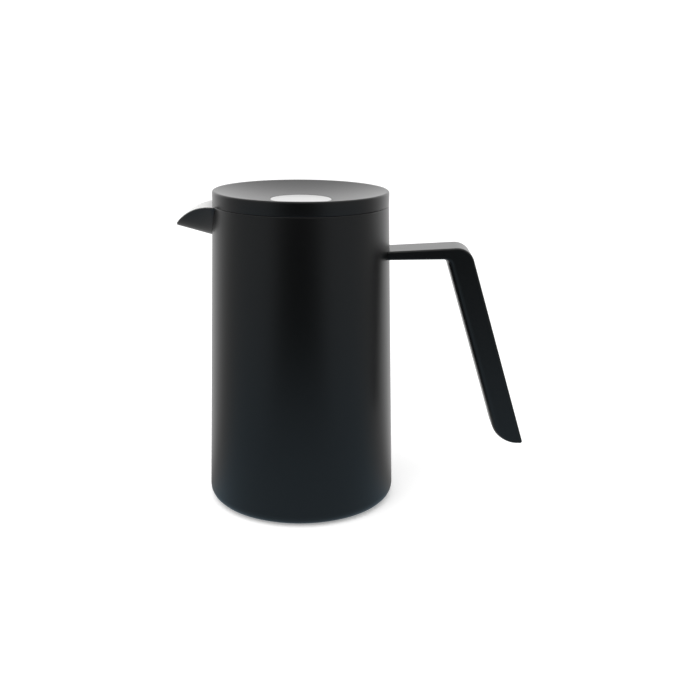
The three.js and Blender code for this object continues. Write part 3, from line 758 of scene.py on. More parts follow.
def coil_ring() -> Pattern:
    """A coil spring bent into a closed ring about the axis.

    Returns:
        The pattern, with Turns, Steps, Ring Radius, Coil Radius, Wire Radius, Height and Material.
    """
    made = Pattern(
        "coil_ring",
        {
            "Turns": "NodeSocketInt", "Steps": "NodeSocketInt", "Ring Radius": "NodeSocketFloat",
            "Coil Radius": "NodeSocketFloat", "Wire Radius": "NodeSocketFloat", "Height": "NodeSocketFloat",
            "Material": "NodeSocketMaterial",
        },
    )
    g, src = made.graph, made.source
    count = g.math("MULTIPLY", src["Turns"], src["Steps"])
    path = g.add("GeometryNodeCurvePrimitiveCircle", {"Resolution": count})
    index = g.add("GeometryNodeInputIndex").outputs[0]
    round_axis = g.math("MULTIPLY", g.math("DIVIDE", index, count), FULL_TURN)
    round_wire = g.math("MULTIPLY", g.math("DIVIDE", index, src["Steps"]), FULL_TURN)
    reach = g.math(
        "ADD", src["Ring Radius"], g.math("MULTIPLY", src["Coil Radius"], g.math("COSINE", round_wire))
    )
    rise = g.math("ADD", src["Height"], g.math("MULTIPLY", src["Coil Radius"], g.math("SINE", round_wire)))
    wound = g.add(
        "GeometryNodeSetPosition",
        {
            "Geometry": path.outputs[0],
            "Position": g.vector(
                g.math("MULTIPLY", reach, g.math("COSINE", round_axis)),
                g.math("MULTIPLY", reach, g.math("SINE", round_axis)),
                rise,
            ),
        },
    )
    wire = g.add("GeometryNodeCurvePrimitiveCircle", {"Resolution": 8, "Radius": src["Wire Radius"]})
    swept = g.add("GeometryNodeCurveToMesh", {"Curve": wound.outputs[0], "Profile Curve": wire.outputs[0]})
    return made.close(swept.outputs[0])


def woven_disc() -> Pattern:
    """Two crossed layers of straight wires, each cut to the chord of a disc.

    Returns:
        The pattern, with Count, Radius, Wire Radius, Height and Material.
    """
    made = Pattern(
        "woven_disc",
        {
            "Count": "NodeSocketInt", "Radius": "NodeSocketFloat", "Wire Radius": "NodeSocketFloat",
            "Height": "NodeSocketFloat", "Material": "NodeSocketMaterial",
        },
    )
    g, src = made.graph, made.source
    inner = g.math("MULTIPLY", src["Radius"], 0.995)
    row = g.add(
        "GeometryNodeMeshLine",
        {"Count": src["Count"], "Start Location": g.vector(g.math("MULTIPLY", inner, -1.0), 0.0, 0.0),
         "Offset": g.vector(inner, 0.0, 0.0)},
        mode="END_POINTS",
    )
    across = g.add("ShaderNodeSeparateXYZ", {0: g.add("GeometryNodeInputPosition").outputs[0]}).outputs[0]
    square = g.math("SUBTRACT", g.math("POWER", src["Radius"], 2.0), g.math("MULTIPLY", across, across))
    chord = g.math("MULTIPLY", g.math("SQRT", square), 2.0)
    wire = g.add("GeometryNodeMeshCylinder", {"Vertices": 6, "Radius": src["Wire Radius"], "Depth": 1.0})
    layer = g.add(
        "GeometryNodeInstanceOnPoints",
        {
            "Points": row.outputs[0], "Instance": wire.outputs[0],
            "Rotation": (math.pi / 2, 0.0, 0.0), "Scale": g.vector(1.0, 1.0, chord),
        },
    ).outputs[0]
    joined = g.add("GeometryNodeJoinGeometry")
    for turn, side in ((0.0, 0.9), (math.pi / 2, -0.9)):
        lift = g.math("ADD", src["Height"], g.math("MULTIPLY", src["Wire Radius"], side))
        moved = g.add(
            "GeometryNodeTransform",
            {"Geometry": layer, "Translation": g.vector(0.0, 0.0, lift), "Rotation": (0.0, 0.0, turn)},
        )
        g.tree.links.new(moved.outputs[0], joined.inputs[0])
    return made.close(joined.outputs[0])


# ------------------------------------------------------------------ vessel


@dataclass
class Vessel:
    """The double-wall vessel: painted shell, steel liner, foot and pad. Millimetres."""

    shell_wall: float = 0.8
    base_round: float = 6.8
    foot_lip: float = 1.5
    rim_round: float = 0.6
    mouth_inset: float = 2.6
    liner_inset: float = 5.5
    liner_wall: float = 0.6
    liner_corner: float = 8.0
    flare_depth: float = 33.8
    flare_rise: float = 6.0
    gap: float = 0.3
    pad_grooves: int = 4
    groove_mouth: float = 0.6
    groove_floor: float = 0.3
    groove_depth: float = 0.35
    vent_share: float = 0.75
    shell: Span = field(init=False)
    rim_radius: float = field(init=False)

    def __post_init__(self) -> None:
        """Reads the shell's size from the frame."""
        self.shell = Span.of("outer_shell")
        self.rim_radius = Span.of("press_disc").radius

    def radius_at(self, height: float) -> float:
        """Outside radius of the tapered shell at a height."""
        run = self.shell.top - self.shell.bottom - self.base_round
        return self.rim_radius + (self.shell.radius - self.rim_radius) * (self.shell.top - height) / run

    def envelope(self, name: str, gap: float) -> bpy.types.Object:
        """A closed solid a gap larger than the shell, for trimming what meets it.

        Args:
            name: the tool's name.
            gap: how much larger it is all round.

        Returns:
            The tool.
        """
        top = self.shell.top + 20
        return turned(
            name,
            [(0, -5, 0), (self.radius_at(-5) + gap, -5, 0), (self.radius_at(top) + gap, top, 0), (0, top, 0)],
            320,
        )

    def build_shell(self, window: bpy.types.Object) -> bpy.types.Object:
        """The painted outer shell with its pouring window.

        Args:
            window: the solid that the pouring channel takes out of the wall.

        Returns:
            The shell.
        """
        low, top, wall = self.shell.bottom, self.shell.top, self.shell_wall
        mouth = self.rim_radius - self.mouth_inset
        foot = self.radius_at(low + self.base_round) - self.base_round - self.foot_lip
        made = turned(
            "vessel_shell",
            [
                (foot, low, 0.2), (self.radius_at(low), low, self.base_round),
                (self.rim_radius, top, self.rim_round), (mouth, top, 0.3), (mouth, top - wall, 0.3),
                (self.rim_radius - wall, top - wall, 0.3),
                (self.radius_at(low) - wall, low + wall, self.base_round - wall), (foot, low + wall, 0.2),
            ],
            192,
        )
        cut(made, [window])
        return place(made, Body.VESSEL, Slot.COAT, POWDER_COAT, ["outer_shell"])

    def build_liner(self) -> bpy.types.Object:
        """The deep-drawn steel liner, flared out to the shell near the mouth.

        Returns:
            The liner.
        """
        span = Span.of("inner_liner")
        bore, wall = self.rim_radius - self.liner_inset, self.liner_wall
        flare = self.shell.top - self.flare_depth
        edge = self.radius_at(flare + self.flare_rise) - self.shell_wall - self.gap
        lap = span.radius
        made = turned(
            "vessel_liner",
            [
                (0, span.bottom, 0), (bore + wall, span.bottom, self.liner_corner + wall),
                (bore + wall, flare, 3), (edge, flare + self.flare_rise - wall / 2, 1), (lap, span.top, 0),
                (lap - wall, span.top, 0.2), (edge - wall, flare + self.flare_rise, 1), (bore, flare, 3),
                (bore, span.bottom + wall, self.liner_corner), (0, span.bottom + wall, 0),
            ],
            192,
        )
        return place(made, Body.VESSEL, Slot.STEEL, LINER_STEEL, ["inner_liner"])

    def build_foot(self) -> None:
        """The base plate, its brazed vent plug and the grooved silicone pad."""
        base, plug, pad = Span.of("base_plate"), Span.of("vent_plug"), Span.of("base_pad")
        bore = plug.radius * self.vent_share
        place(
            turned("foot_plate", [
                (bore, base.bottom, 0.1), (base.radius, base.bottom, 0.2), (base.radius, base.top, 0.2),
                (bore, base.top, 0.1)]),
            Body.VESSEL, Slot.STEEL, SPUN_STEEL, ["base_plate"])
        shank = bore - self.gap
        place(
            turned("vent_cap", [
                (0, plug.bottom, 0), (shank, plug.bottom, 0.3), (shank, base.top + self.gap, 0),
                (plug.radius, base.top + self.gap, 0.2), (plug.radius, plug.top, 0.6), (0, plug.top, 0)], 64),
            Body.VESSEL, Slot.STEEL, PLAIN_STEEL, ["vent_plug"])
        floor = pad.bottom + self.groove_depth
        grooves: list[Corner] = []
        for i in range(self.pad_grooves, 0, -1):
            middle = pad.radius * i / (self.pad_grooves + 1)
            grooves += [(middle + self.groove_mouth, pad.bottom, 0), (middle + self.groove_floor, floor, 0),
                        (middle - self.groove_floor, floor, 0), (middle - self.groove_mouth, pad.bottom, 0)]
        outline = [(0, pad.top, 0), (pad.radius, pad.top, 0.1), (pad.radius, pad.bottom, 0.25), *grooves,
                   (0, pad.bottom, 0)]
        place(turned("foot_pad", outline), Body.VESSEL, Slot.SILICONE, SILICONE_SKIN, ["base_pad"])


@dataclass
class Beak:
    """The folded pouring beak, black outside and bare steel inside; the steel's near-white colour is a painted
    reflection. Millimetres.
    """

    vessel: Vessel
    root_depth: float = 1.4
    top_drop: float = 0.8
    depth: float = 19.5
    half_width: float = 18.5
    tip_half_width: float = 0.9
    keel_slope: float = 0.268
    tip_height: float = 1.4
    taper: float = 0.6
    edge_bow: float = 2.32
    belly: float = 0.75
    wall: float = 0.9
    weld: float = 0.3  # how far the root sinks into the shell's skin
    stations: int = 44
    section_steps: int = 20

    def point(self, x: float, share: float, inset: float = 0.0, lift: float = 0.0) -> tuple[float, float]:
        """Half-width and height of the beak's skin.

        Args:
            x: distance along X, negative towards the tip.
            share: 0 at the keel and 1 at the top edge.
            inset: how far inside the skin.
            lift: how far the top edge is raised.

        Returns:
            The distance to the side, and the height.
        """
        root = -(self.vessel.rim_radius - self.root_depth)
        length = root - Span.of("spout").low.x
        along = max(0.0, min(1.0, (root - x) / length))
        spread = (self.half_width - self.tip_half_width) * (1 - along) ** self.taper
        half = max(self.tip_half_width + spread - inset, 0.05)
        rim = self.vessel.shell.top
        keel = rim - self.depth + self.keel_slope * (root - x)
        keel_tip = rim - self.depth + self.keel_slope * length
        droop = rim - self.top_drop - keel_tip - self.tip_height
        top = rim - self.top_drop - droop * along**self.edge_bow
        return half * share**self.belly, keel + inset + (top - keel - inset + lift) * share

    def root_x(self, share: float) -> float:
        """Where the skin at a share of its height meets the shell.

        Args:
            share: 0 at the keel, 1 at the top edge.

        Returns:
            The X of that place.
        """
        x = -self.vessel.rim_radius
        for _ in range(12):
            side, height = self.point(x, share)
            reach = self.vessel.radius_at(height) - self.weld
            x = -math.sqrt(max(reach * reach - side * side, 1.0))
        return x

    def channel(self) -> bpy.types.Object:
        """The closed solid that the channel takes out of the shell's wall.

        Returns:
            The tool.
        """
        bm = bmesh.new()
        ceiling = self.vessel.shell.top - self.vessel.shell_wall - self.vessel.gap
        loops = []
        for x in (-self.vessel.rim_radius - 3, -self.vessel.rim_radius + 6):
            shares = [i / self.section_steps for i in range(self.section_steps + 1)]
            side = [self.point(x, s, self.wall) for s in shares]
            right = [(x * MM, y * MM, min(z, ceiling) * MM) for y, z in side]
            left = [(px, -py, pz) for px, py, pz in reversed(right[1:])]
            loops.append([bm.verts.new(p) for p in right + left])
        count = len(loops[0])
        for i in range(count):
            j = (i + 1) % count
            bm.faces.new([loops[0][i], loops[0][j], loops[1][j], loops[1][i]])
        for loop in loops:
            bm.faces.new(loop)
        return object_of("beak_channel", bm)

    def build(self) -> bpy.types.Object:
        """The beak as a folded sheet: coated black outside and along its edge, bare steel inside whose near-white
        colour is a painted reflection.

        Returns:
            The beak.
        """
        tip = Span.of("spout").low.x
        bm = bmesh.new()
        shares = [i / self.section_steps for i in range(self.section_steps + 1)]
        sides = [(s, 1) for s in reversed(shares)] + [(s, -1) for s in shares[1:]]
        rows = []
        for s, sign in sides:
            start = self.root_x(s)
            row = []
            for k in range(self.stations + 1):
                x = tip + (start - tip) * (1 - k / self.stations) ** 2
                side, height = self.point(x, s)
                row.append(bm.verts.new((x * MM, sign * side * MM, height * MM)))
            rows.append(row)
        for a, b in zip(rows, rows[1:]):
            for k in range(self.stations):
                bm.faces.new([a[k], a[k + 1], b[k + 1], b[k]])
        bmesh.ops.recalc_face_normals(bm, faces=bm.faces)
        keel = min(bm.faces, key=lambda f: f.calc_center_median().z)
        if keel.normal.z > 0:
            bmesh.ops.reverse_faces(bm, faces=bm.faces)
        mesh = bpy.data.meshes.new("pouring_beak")
        bm.to_mesh(mesh)
        bm.free()
        mesh.shade_smooth()
        made = bpy.data.objects.new("pouring_beak", mesh)
        bpy.context.scene.collection.objects.link(made)
        # The second material, on the inner face of the sheet, is steel with a painted reflection.
        for finish in (POWDER_COAT, BEAK_STEEL_PAINTED_SHINE):
            mesh.materials.append(finish.material())
        sheet = made.modifiers.new("sheet", "SOLIDIFY")
        sheet.thickness = self.wall * MM
        sheet.offset = -1
        sheet.material_offset = 1
        sheet.material_offset_rim = 0
        sheet.use_even_offset = False
        baked(made)
        made.data.set_sharp_from_angle(angle=math.radians(40))
        return place(made, Body.VESSEL, Slot.COAT, None, ["spout"])


@dataclass
class Handle:
    """The cantilever handle with its hidden steel tongue and two screws. Millimetres."""

    vessel: Vessel
    edge_round: float = 1.2
    finger_round: float = 4.6  # of the edges along the grip's inner face
    arm_root_thick: float = 5.2
    arm_top_rise: float = 0.0625
    arm_bottom_rise: float = 0.0241
    arm_drop: float = 26.2
    arm_length: float = 48.5
    grip_lean: float = 0.306
    grip_thick: float = 16.2
    outer_round: float = 10.5
    inner_round: float = 4.0
    end_round: float = 15.0
    tip_round: float = 1.2
    slot_gap: float = 0.3
    root_sink: float = 0.15  # how far the arm's root sinks into the shell's paint
    layers: int = 8

    def outline(self, edge: float, finger: float) -> list[Point]:
        """The handle's side view, starting inside the shell so that it can be trimmed.

        Args:
            edge: how far the outline is drawn in at the arm and the outer face.
            finger: how far it is drawn in along the grip's inner face and end.

        Returns:
            Points along X and up Z, in metres.
        """
        rim, end = self.vessel.rim_radius, Span.of("handle").bottom
        root = self.vessel.shell.top - self.arm_drop
        corner = rim + self.arm_length
        corner_z = root + self.arm_top_rise * self.arm_length
        level = math.hypot(1, self.grip_lean)  # level distance for each millimetre across the grip
        top = Line(Vector((rim, root - edge)), Vector((1, self.arm_top_rise)))
        under = Line(Vector((rim, root - self.arm_root_thick + edge)), Vector((1, self.arm_bottom_rise)))
        outer = Line(Vector((corner - edge * level, corner_z)), Vector((self.grip_lean, -1)))
        inner = Line(
            Vector((corner - self.grip_thick + finger * level, corner_z)), Vector((self.grip_lean, -1))
        )
        foot = Line(Vector((corner, end + edge)), Vector((1, 0)))
        start = Line(Vector((rim - 6, 0)), Vector((0, 1)))
        fold = (finger + edge) / 2
        corners = [
            (start.meets(top), 0), (top.meets(outer), self.outer_round - edge),
            (outer.meets(foot), max(self.tip_round - edge, 0.05)), (foot.meets(inner), self.end_round - fold),
            (inner.meets(under), self.inner_round + fold), (under.meets(start), 0),
        ]
        return rounded([(at.x, at.y, fillet) for at, fillet in corners], 14)

    def depths(self) -> list[float]:
        """Distances in from the side face at which the roundings are sampled.

        Returns:
            The distances, rising from 0.
        """
        turns = [math.pi / 2 * i / self.layers for i in range(self.layers + 1)]
        rounds = (self.edge_round, self.finger_round)
        return sorted({round(radius * (1 - math.cos(a)), 5) for radius in rounds for a in turns})

    def layer(self, depth: float) -> list[Point]:
        """The outline at a distance in from the side face.

        Args:
            depth: the distance.

        Returns:
            The outline's points.
        """
        def drawn(radius: float) -> float:
            """How far a rounding of this radius draws the outline in at the depth."""
            left = max(radius - depth, 0)
            return radius - math.sqrt(radius * radius - left * left)

        return self.outline(drawn(self.edge_round), drawn(self.finger_round))

    def build_body(self) -> bpy.types.Object:
        """The moulded body, with small roundings outside and full ones where the fingers go.

        Returns:
            The untrimmed handle.
        """
        half = Span.of("handle").high.y
        depths = self.depths()
        stack = [(-(half - d), d) for d in depths] + [(half - d, d) for d in reversed(depths)]
        bm = bmesh.new()
        loops = [
            [bm.verts.new((x, side * MM, z)) for x, z in self.layer(depth)] for side, depth in stack
        ]
        for low, high in zip(loops, loops[1:]):
            for i in range(len(low)):
                j = (i + 1) % len(low)
                bm.faces.new([low[i], low[j], high[j], high[i]])
        bm.faces.new(loops[0])
        bm.faces.new(loops[-1])
        return object_of("grip_handle", bm, 30)

    def build(self, frame: dict) -> bpy.types.Object:
        """The moulded handle, its steel tongue and its screws.


        Returns:
            The handle.
        """
        made = self.build_body()
        tongue = Span.of("handle_tongue")
        bm = bmesh.new()
        grow = Vector((self.slot_gap,) * 3)
        low, high = (tongue.low - grow) * MM, (tongue.high + grow) * MM
        low.x -= 8 * MM
        bmesh.ops.create_cube(
            bm, size=1.0,
            matrix=Matrix.Translation((low + high) / 2) @ Matrix.Diagonal((*(high - low), 1.0)),
        )
        tools = [self.vessel.envelope("arm_trim", -self.root_sink), object_of("tongue_slot", bm)]
        tools += [self.screw_hole(f"handle_screw_{i}") for i in (1, 2)]
        cut(made, tools, 32)
        tidy = made.modifiers.new("shading", "WEIGHTED_NORMAL")
        tidy.keep_sharp = True
        baked(made)
        place(made, Body.VESSEL, Slot.PLASTIC, GRIP_NYLON, ["handle"])
        dress_node(frame, "handle_tongue", PLAIN_STEEL)
        for i in (1, 2):
            place(
                screw(f"arm_screw_{i}", Span.of(f"handle_screw_{i}"), 0.8, 1.3),
                Body.VESSEL, Slot.STEEL, PLAIN_STEEL, [f"handle_screw_{i}"],
            )
        return made

    def screw_hole(self, node: str) -> bpy.types.Object:
        """The counterbored hole for one screw under the arm.

        Args:
            node: the screw's CAD node.

        Returns:
            The tool.
        """
        span = Span.of(node)
        head = (span.high.x - span.low.x) / 2 + self.slot_gap
        middle = (span.high.x + span.low.x) / 2
        made = turned(
            f"{node}_hole",
            [(0, span.bottom - 2, 0), (head, span.bottom - 2, 0), (head, span.bottom + 1.1, 0),
             (1.6, span.bottom + 1.1, 0), (1.6, span.top, 0), (0, span.top, 0)],
            48,
        )
        made.data.transform(Matrix.Translation((middle * MM, 0, 0)))
        return made


def screw(name: str, span: Span, head_thick: float, shank: float) -> bpy.types.Object:
    """A screw pointing up, with a domed head and a hexagonal socket.

    Args:
        name: the piece's name.
        span: where its CAD node is.
        head_thick: thickness of the head, in millimetres.
        shank: radius of the shank, in millimetres.

    Returns:
        The screw.
    """
    head = (span.high.x - span.low.x) / 2
    middle = (span.low + span.high) / 2
    low, top = span.bottom, span.top
    dome_share, socket_share, depth_share = 0.45, 0.5, 0.7
    made = turned(
        name,
        [(0, low, 0), (head, low, head_thick * dome_share), (head, low + head_thick, 0.1),
         (shank, low + head_thick, 0.1), (shank, top, 0.3), (0, top, 0)],
        48,
    )
    made.data.transform(Matrix.Translation((middle.x * MM, middle.y * MM, 0)))
    hexagon = [
        (middle.x * MM + head * socket_share * MM * math.cos(FULL_TURN * i / 6),
         middle.y * MM + head * socket_share * MM * math.sin(FULL_TURN * i / 6))
        for i in range(6)
    ]
    socket = prism(f"{name}_socket", hexagon, (low - 1) * MM, (low + head_thick * depth_share) * MM)
    return cut(made, [socket])


def nut(name: str, span: Span, bore: float) -> bpy.types.Object:
    """A hexagonal nut with chamfered corners.

    Args:
        name: the piece's name.
        span: where its CAD node is.
        bore: radius of its bore, in millimetres.

    Returns:
        The nut.
    """
    corner = span.high.x
    hexagon = [
        (corner * MM * math.cos(FULL_TURN * i / 6), corner * MM * math.sin(FULL_TURN * i / 6))
        for i in range(6)
    ]
    made = prism(name, hexagon, span.bottom * MM, span.top * MM, bore * MM)
    flat = corner * math.cos(math.pi / 6)
    low, top, rise = span.bottom, span.top, corner - flat
    spare, chamfer = 0.1, rise * 0.6
    dome = turned(
        f"{name}_dome",
        [(0, low, 0), (flat - spare, low, 0), (corner + spare, low + chamfer, 0),
         (corner + spare, top - chamfer, 0), (flat - spare, top, 0), (0, top, 0)],
        96,
    )
    keep = made.modifiers.new("chamfer", "BOOLEAN")
    keep.operation = "INTERSECT"
    keep.solver = "EXACT"
    keep.object = dome
    baked(made)
    bpy.data.objects.remove(dome)
    made.data.shade_smooth()
    made.data.set_sharp_from_angle(angle=math.radians(20))
    return made


# ------------------------------------------------------------------ lid


@dataclass
class Lid:
    """The lift-out lid: moulded insert, gasket, pour strainer, heat plate, screws and rod sleeve."""

    vessel: Vessel
    plug_wall: float = 2.0
    flange_thick: float = 1.2
    plate_thick: float = 2.0
    seal_thick: float = 1.9
    stop_radius: float = 46.0
    hub_radius: float = 9.0
    rod_clearance: float = 0.3
    boss_radius: float = 3.6
    window_border: float = 1.4
    port_radius: float = 0.65
    port_pitch: float = 1.9
    seal_lips: int = 3
    lip_reach: float = 0.6
    lip_thick: float = 0.7
    gasket_chamfer: float = 0.7
    sleeve_flange: float = 2.1
    window_reach: float = 4.0
    boss_height: float = 4.0
    boss_sink: float = 1.0

    def build_insert(self) -> bpy.types.Object:
        """The moulded insert: a recessed plug with a hub, screw bosses and a pouring window.

        Returns:
            The insert.
        """
        span, seal, bush = Span.of("lid_insert"), Span.of("lid_seal"), Span.of("rod_bush")
        under, strainer = Span.of("lid_underplate"), Span.of("pour_strainer")
        plug = seal.radius
        inner = plug - self.plug_wall
        neck = plug - self.seal_thick - self.vessel.gap
        bore = bush.radius - self.sleeve_flange
        plate_low = under.top + self.vessel.gap
        plate_top = plate_low + self.plate_thick
        hub_low = bush.bottom + self.sleeve_flange
        rim = self.vessel.shell.top + self.vessel.gap
        shoulder = seal.top + self.vessel.gap
        made = turned(
            "lid_body",
            [
                (bore, hub_low, 0.3), (self.hub_radius, hub_low, 0.6), (self.hub_radius, plate_low, 1),
                (inner, plate_low, 1), (inner, shoulder + self.plug_wall, 0.5),
                (self.stop_radius, shoulder, 0.5),
                (self.stop_radius, span.bottom, 0.3), (neck, span.bottom, 0.3), (neck, shoulder, 0),
                (plug, shoulder, 0.3), (plug, rim, 0.1), (span.radius, rim, 0.3),
                (span.radius, span.top, 0.4),
                (inner, span.top, 0.4), (inner, plate_top, 1.2), (bore, plate_top, 0.2),
            ],
        )
        outer = strainer.low.x
        half = math.asin((strainer.high.y + self.vessel.gap) / -outer)
        opening = sector(
            "pour_window", (-outer - self.window_reach) * MM, (-outer + self.window_reach) * MM,
            (strainer.bottom - self.vessel.gap) * MM, (strainer.top + self.vessel.gap) * MM, half)
        cut(made, [opening])
        for i in (1, 2, 3):
            self.add_boss(made, Span.of(f"lid_screw_{i}"), plate_top)
        made.data.shade_smooth()
        made.data.set_sharp_from_angle(angle=math.radians(35))
        return place(made, Body.LID, Slot.PLASTIC, LID_NYLON, ["lid_insert"])

    def add_boss(self, insert: bpy.types.Object, span: Span, plate_top: float) -> None:
        """Joins one closed screw boss on top of the insert.

        Args:
            insert: the moulded insert.
            span: where the screw is.
            plate_top: the height that the boss stands on.
        """
        middle = (span.low + span.high) / 2
        foot, top = plate_top - self.boss_sink, plate_top + self.boss_height
        boss = turned(
            "boss",
            [(0, foot, 0), (self.boss_radius, foot, 0), (self.boss_radius, top, 0.8), (0, top, 0)],
            64,
        )
        boss.data.transform(Matrix.Translation((middle.x * MM, middle.y * MM, 0)))
        step = insert.modifiers.new("boss", "BOOLEAN")
        step.operation = "UNION"
        step.solver = "EXACT"
        step.object = boss
        baked(insert)
        bpy.data.objects.remove(boss)

    def build_seal(self) -> bpy.types.Object:
        """The silicone gasket with thin wiping lips.

        Returns:
            The gasket.
        """
        span = Span.of("lid_seal")
        inner = span.radius - self.seal_thick
        waist = span.radius - self.lip_reach
        pitch = (span.top - span.bottom - 2.2) / self.seal_lips
        lips: list[Corner] = []
        for i in range(self.seal_lips):
            low = span.bottom + 3.0 + i * pitch * 0.8
            lips += [(waist, low, 0.15), (span.radius, low + self.lip_thick / 2, 0.1),
                     (waist, low + self.lip_thick, 0.15)]
        made = turned(
            "lid_gasket",
            [(inner, span.bottom, 0.2), (inner + self.gasket_chamfer, span.bottom + 0.4, 0.2),
             (waist, span.bottom + 2.6, 0.3), *lips, (waist, span.top, 0.2), (inner, span.top, 0.1)],
        )
        return place(made, Body.SEAL, Slot.SILICONE, SILICONE_SKIN, ["lid_seal"])

    def build_strainer(self, ports: Pattern) -> bpy.types.Object:
        """The perforated steel strainer in the pouring window.

        Args:
            ports: the pattern that drills it.

        Returns:
            The strainer.
        """
        span = Span.of("pour_strainer")
        outer = -span.low.x
        half = math.asin(span.high.y / outer)
        made = sector("lid_strainer", (outer - 1) * MM, outer * MM, span.bottom * MM, span.top * MM, half)
        rise = span.top - span.bottom - 2 * self.window_border
        spread = 2 * (half - self.window_border / outer)
        ports.apply(
            made,
            Columns=int(spread * outer / self.port_pitch) + 1, Rows=int(rise / self.port_pitch) + 1,
            Spread=spread, Rise=rise * MM, Radius=(outer - 0.5) * MM, Port_Radius=self.port_radius * MM,
            Height=(span.bottom + span.top) / 2 * MM, Material=PLAIN_STEEL.material(),
        )
        made.data.set_sharp_from_angle(angle=math.radians(35))
        return place(made, Body.LID, Slot.STEEL, None, ["pour_strainer"])

    def build_fittings(self, frame: dict) -> None:
        """The heat plate, its screws, the rod sleeve and the sleeve's clip.
        """
        plate, bush = Span.of("lid_underplate"), Span.of("rod_bush")
        hole = self.hub_radius + self.vessel.gap
        place(
            turned("lid_heat_plate", [
                (hole, plate.bottom, 0.2), (plate.radius - 1.2, plate.bottom, 0.8),
                (plate.radius, plate.top, 0.1),
                (hole, plate.top, 0.1)]),
            Body.LID, Slot.STEEL, SPUN_STEEL, ["lid_underplate"])
        for i in (1, 2, 3):
            place(
                screw(f"lid_bolt_{i}", Span.of(f"lid_screw_{i}"), 1.4, 1.5),
                Body.LID, Slot.STEEL, PLAIN_STEEL, [f"lid_screw_{i}"])
        bore = Span.of("plunger_rod").radius + self.rod_clearance
        sleeve = bore + 2.4
        foot = bush.top - 0.8
        groove = bush.bottom + 1
        place(
            turned("rod_sleeve", [
                (bore, bush.bottom, 0.4), (sleeve, bush.bottom, 0.4), (sleeve, groove - 0.3, 0.1),
                (sleeve - 1, groove - 0.3, 0), (sleeve - 1, groove + 1.1, 0), (sleeve, groove + 1.1, 0.1),
                (sleeve, foot, 0), (bush.radius, foot, 0.1), (bush.radius, bush.top, 0.3),
                (bore, bush.top, 0.4)], 96),
            Body.LID, Slot.PLASTIC, LID_NYLON, ["rod_bush"])
        dress_node(frame, "bush_clip", PLAIN_STEEL)


def sector(name: str, inner: float, outer: float, low: float, top: float, half: float) -> bpy.types.Object:
    """An upright curved slab about the -X axis.

    Args:
        name: the piece's name.
        inner: inner radius, in metres.
        outer: outer radius, in metres.
        low: its lower face, in metres.
        top: its upper face, in metres.
        half: half its angle, in radians.

    Returns:
        The slab.
    """
    steps = 36
    angles = [math.pi - half + 2 * half * i / steps for i in range(steps + 1)]
    rim = [(outer * math.cos(a), outer * math.sin(a)) for a in angles]
    rim += [(inner * math.cos(a), inner * math.sin(a)) for a in reversed(angles)]
    return prism(name, rim, low, top)


# ------------------------------------------------------------------ plunger


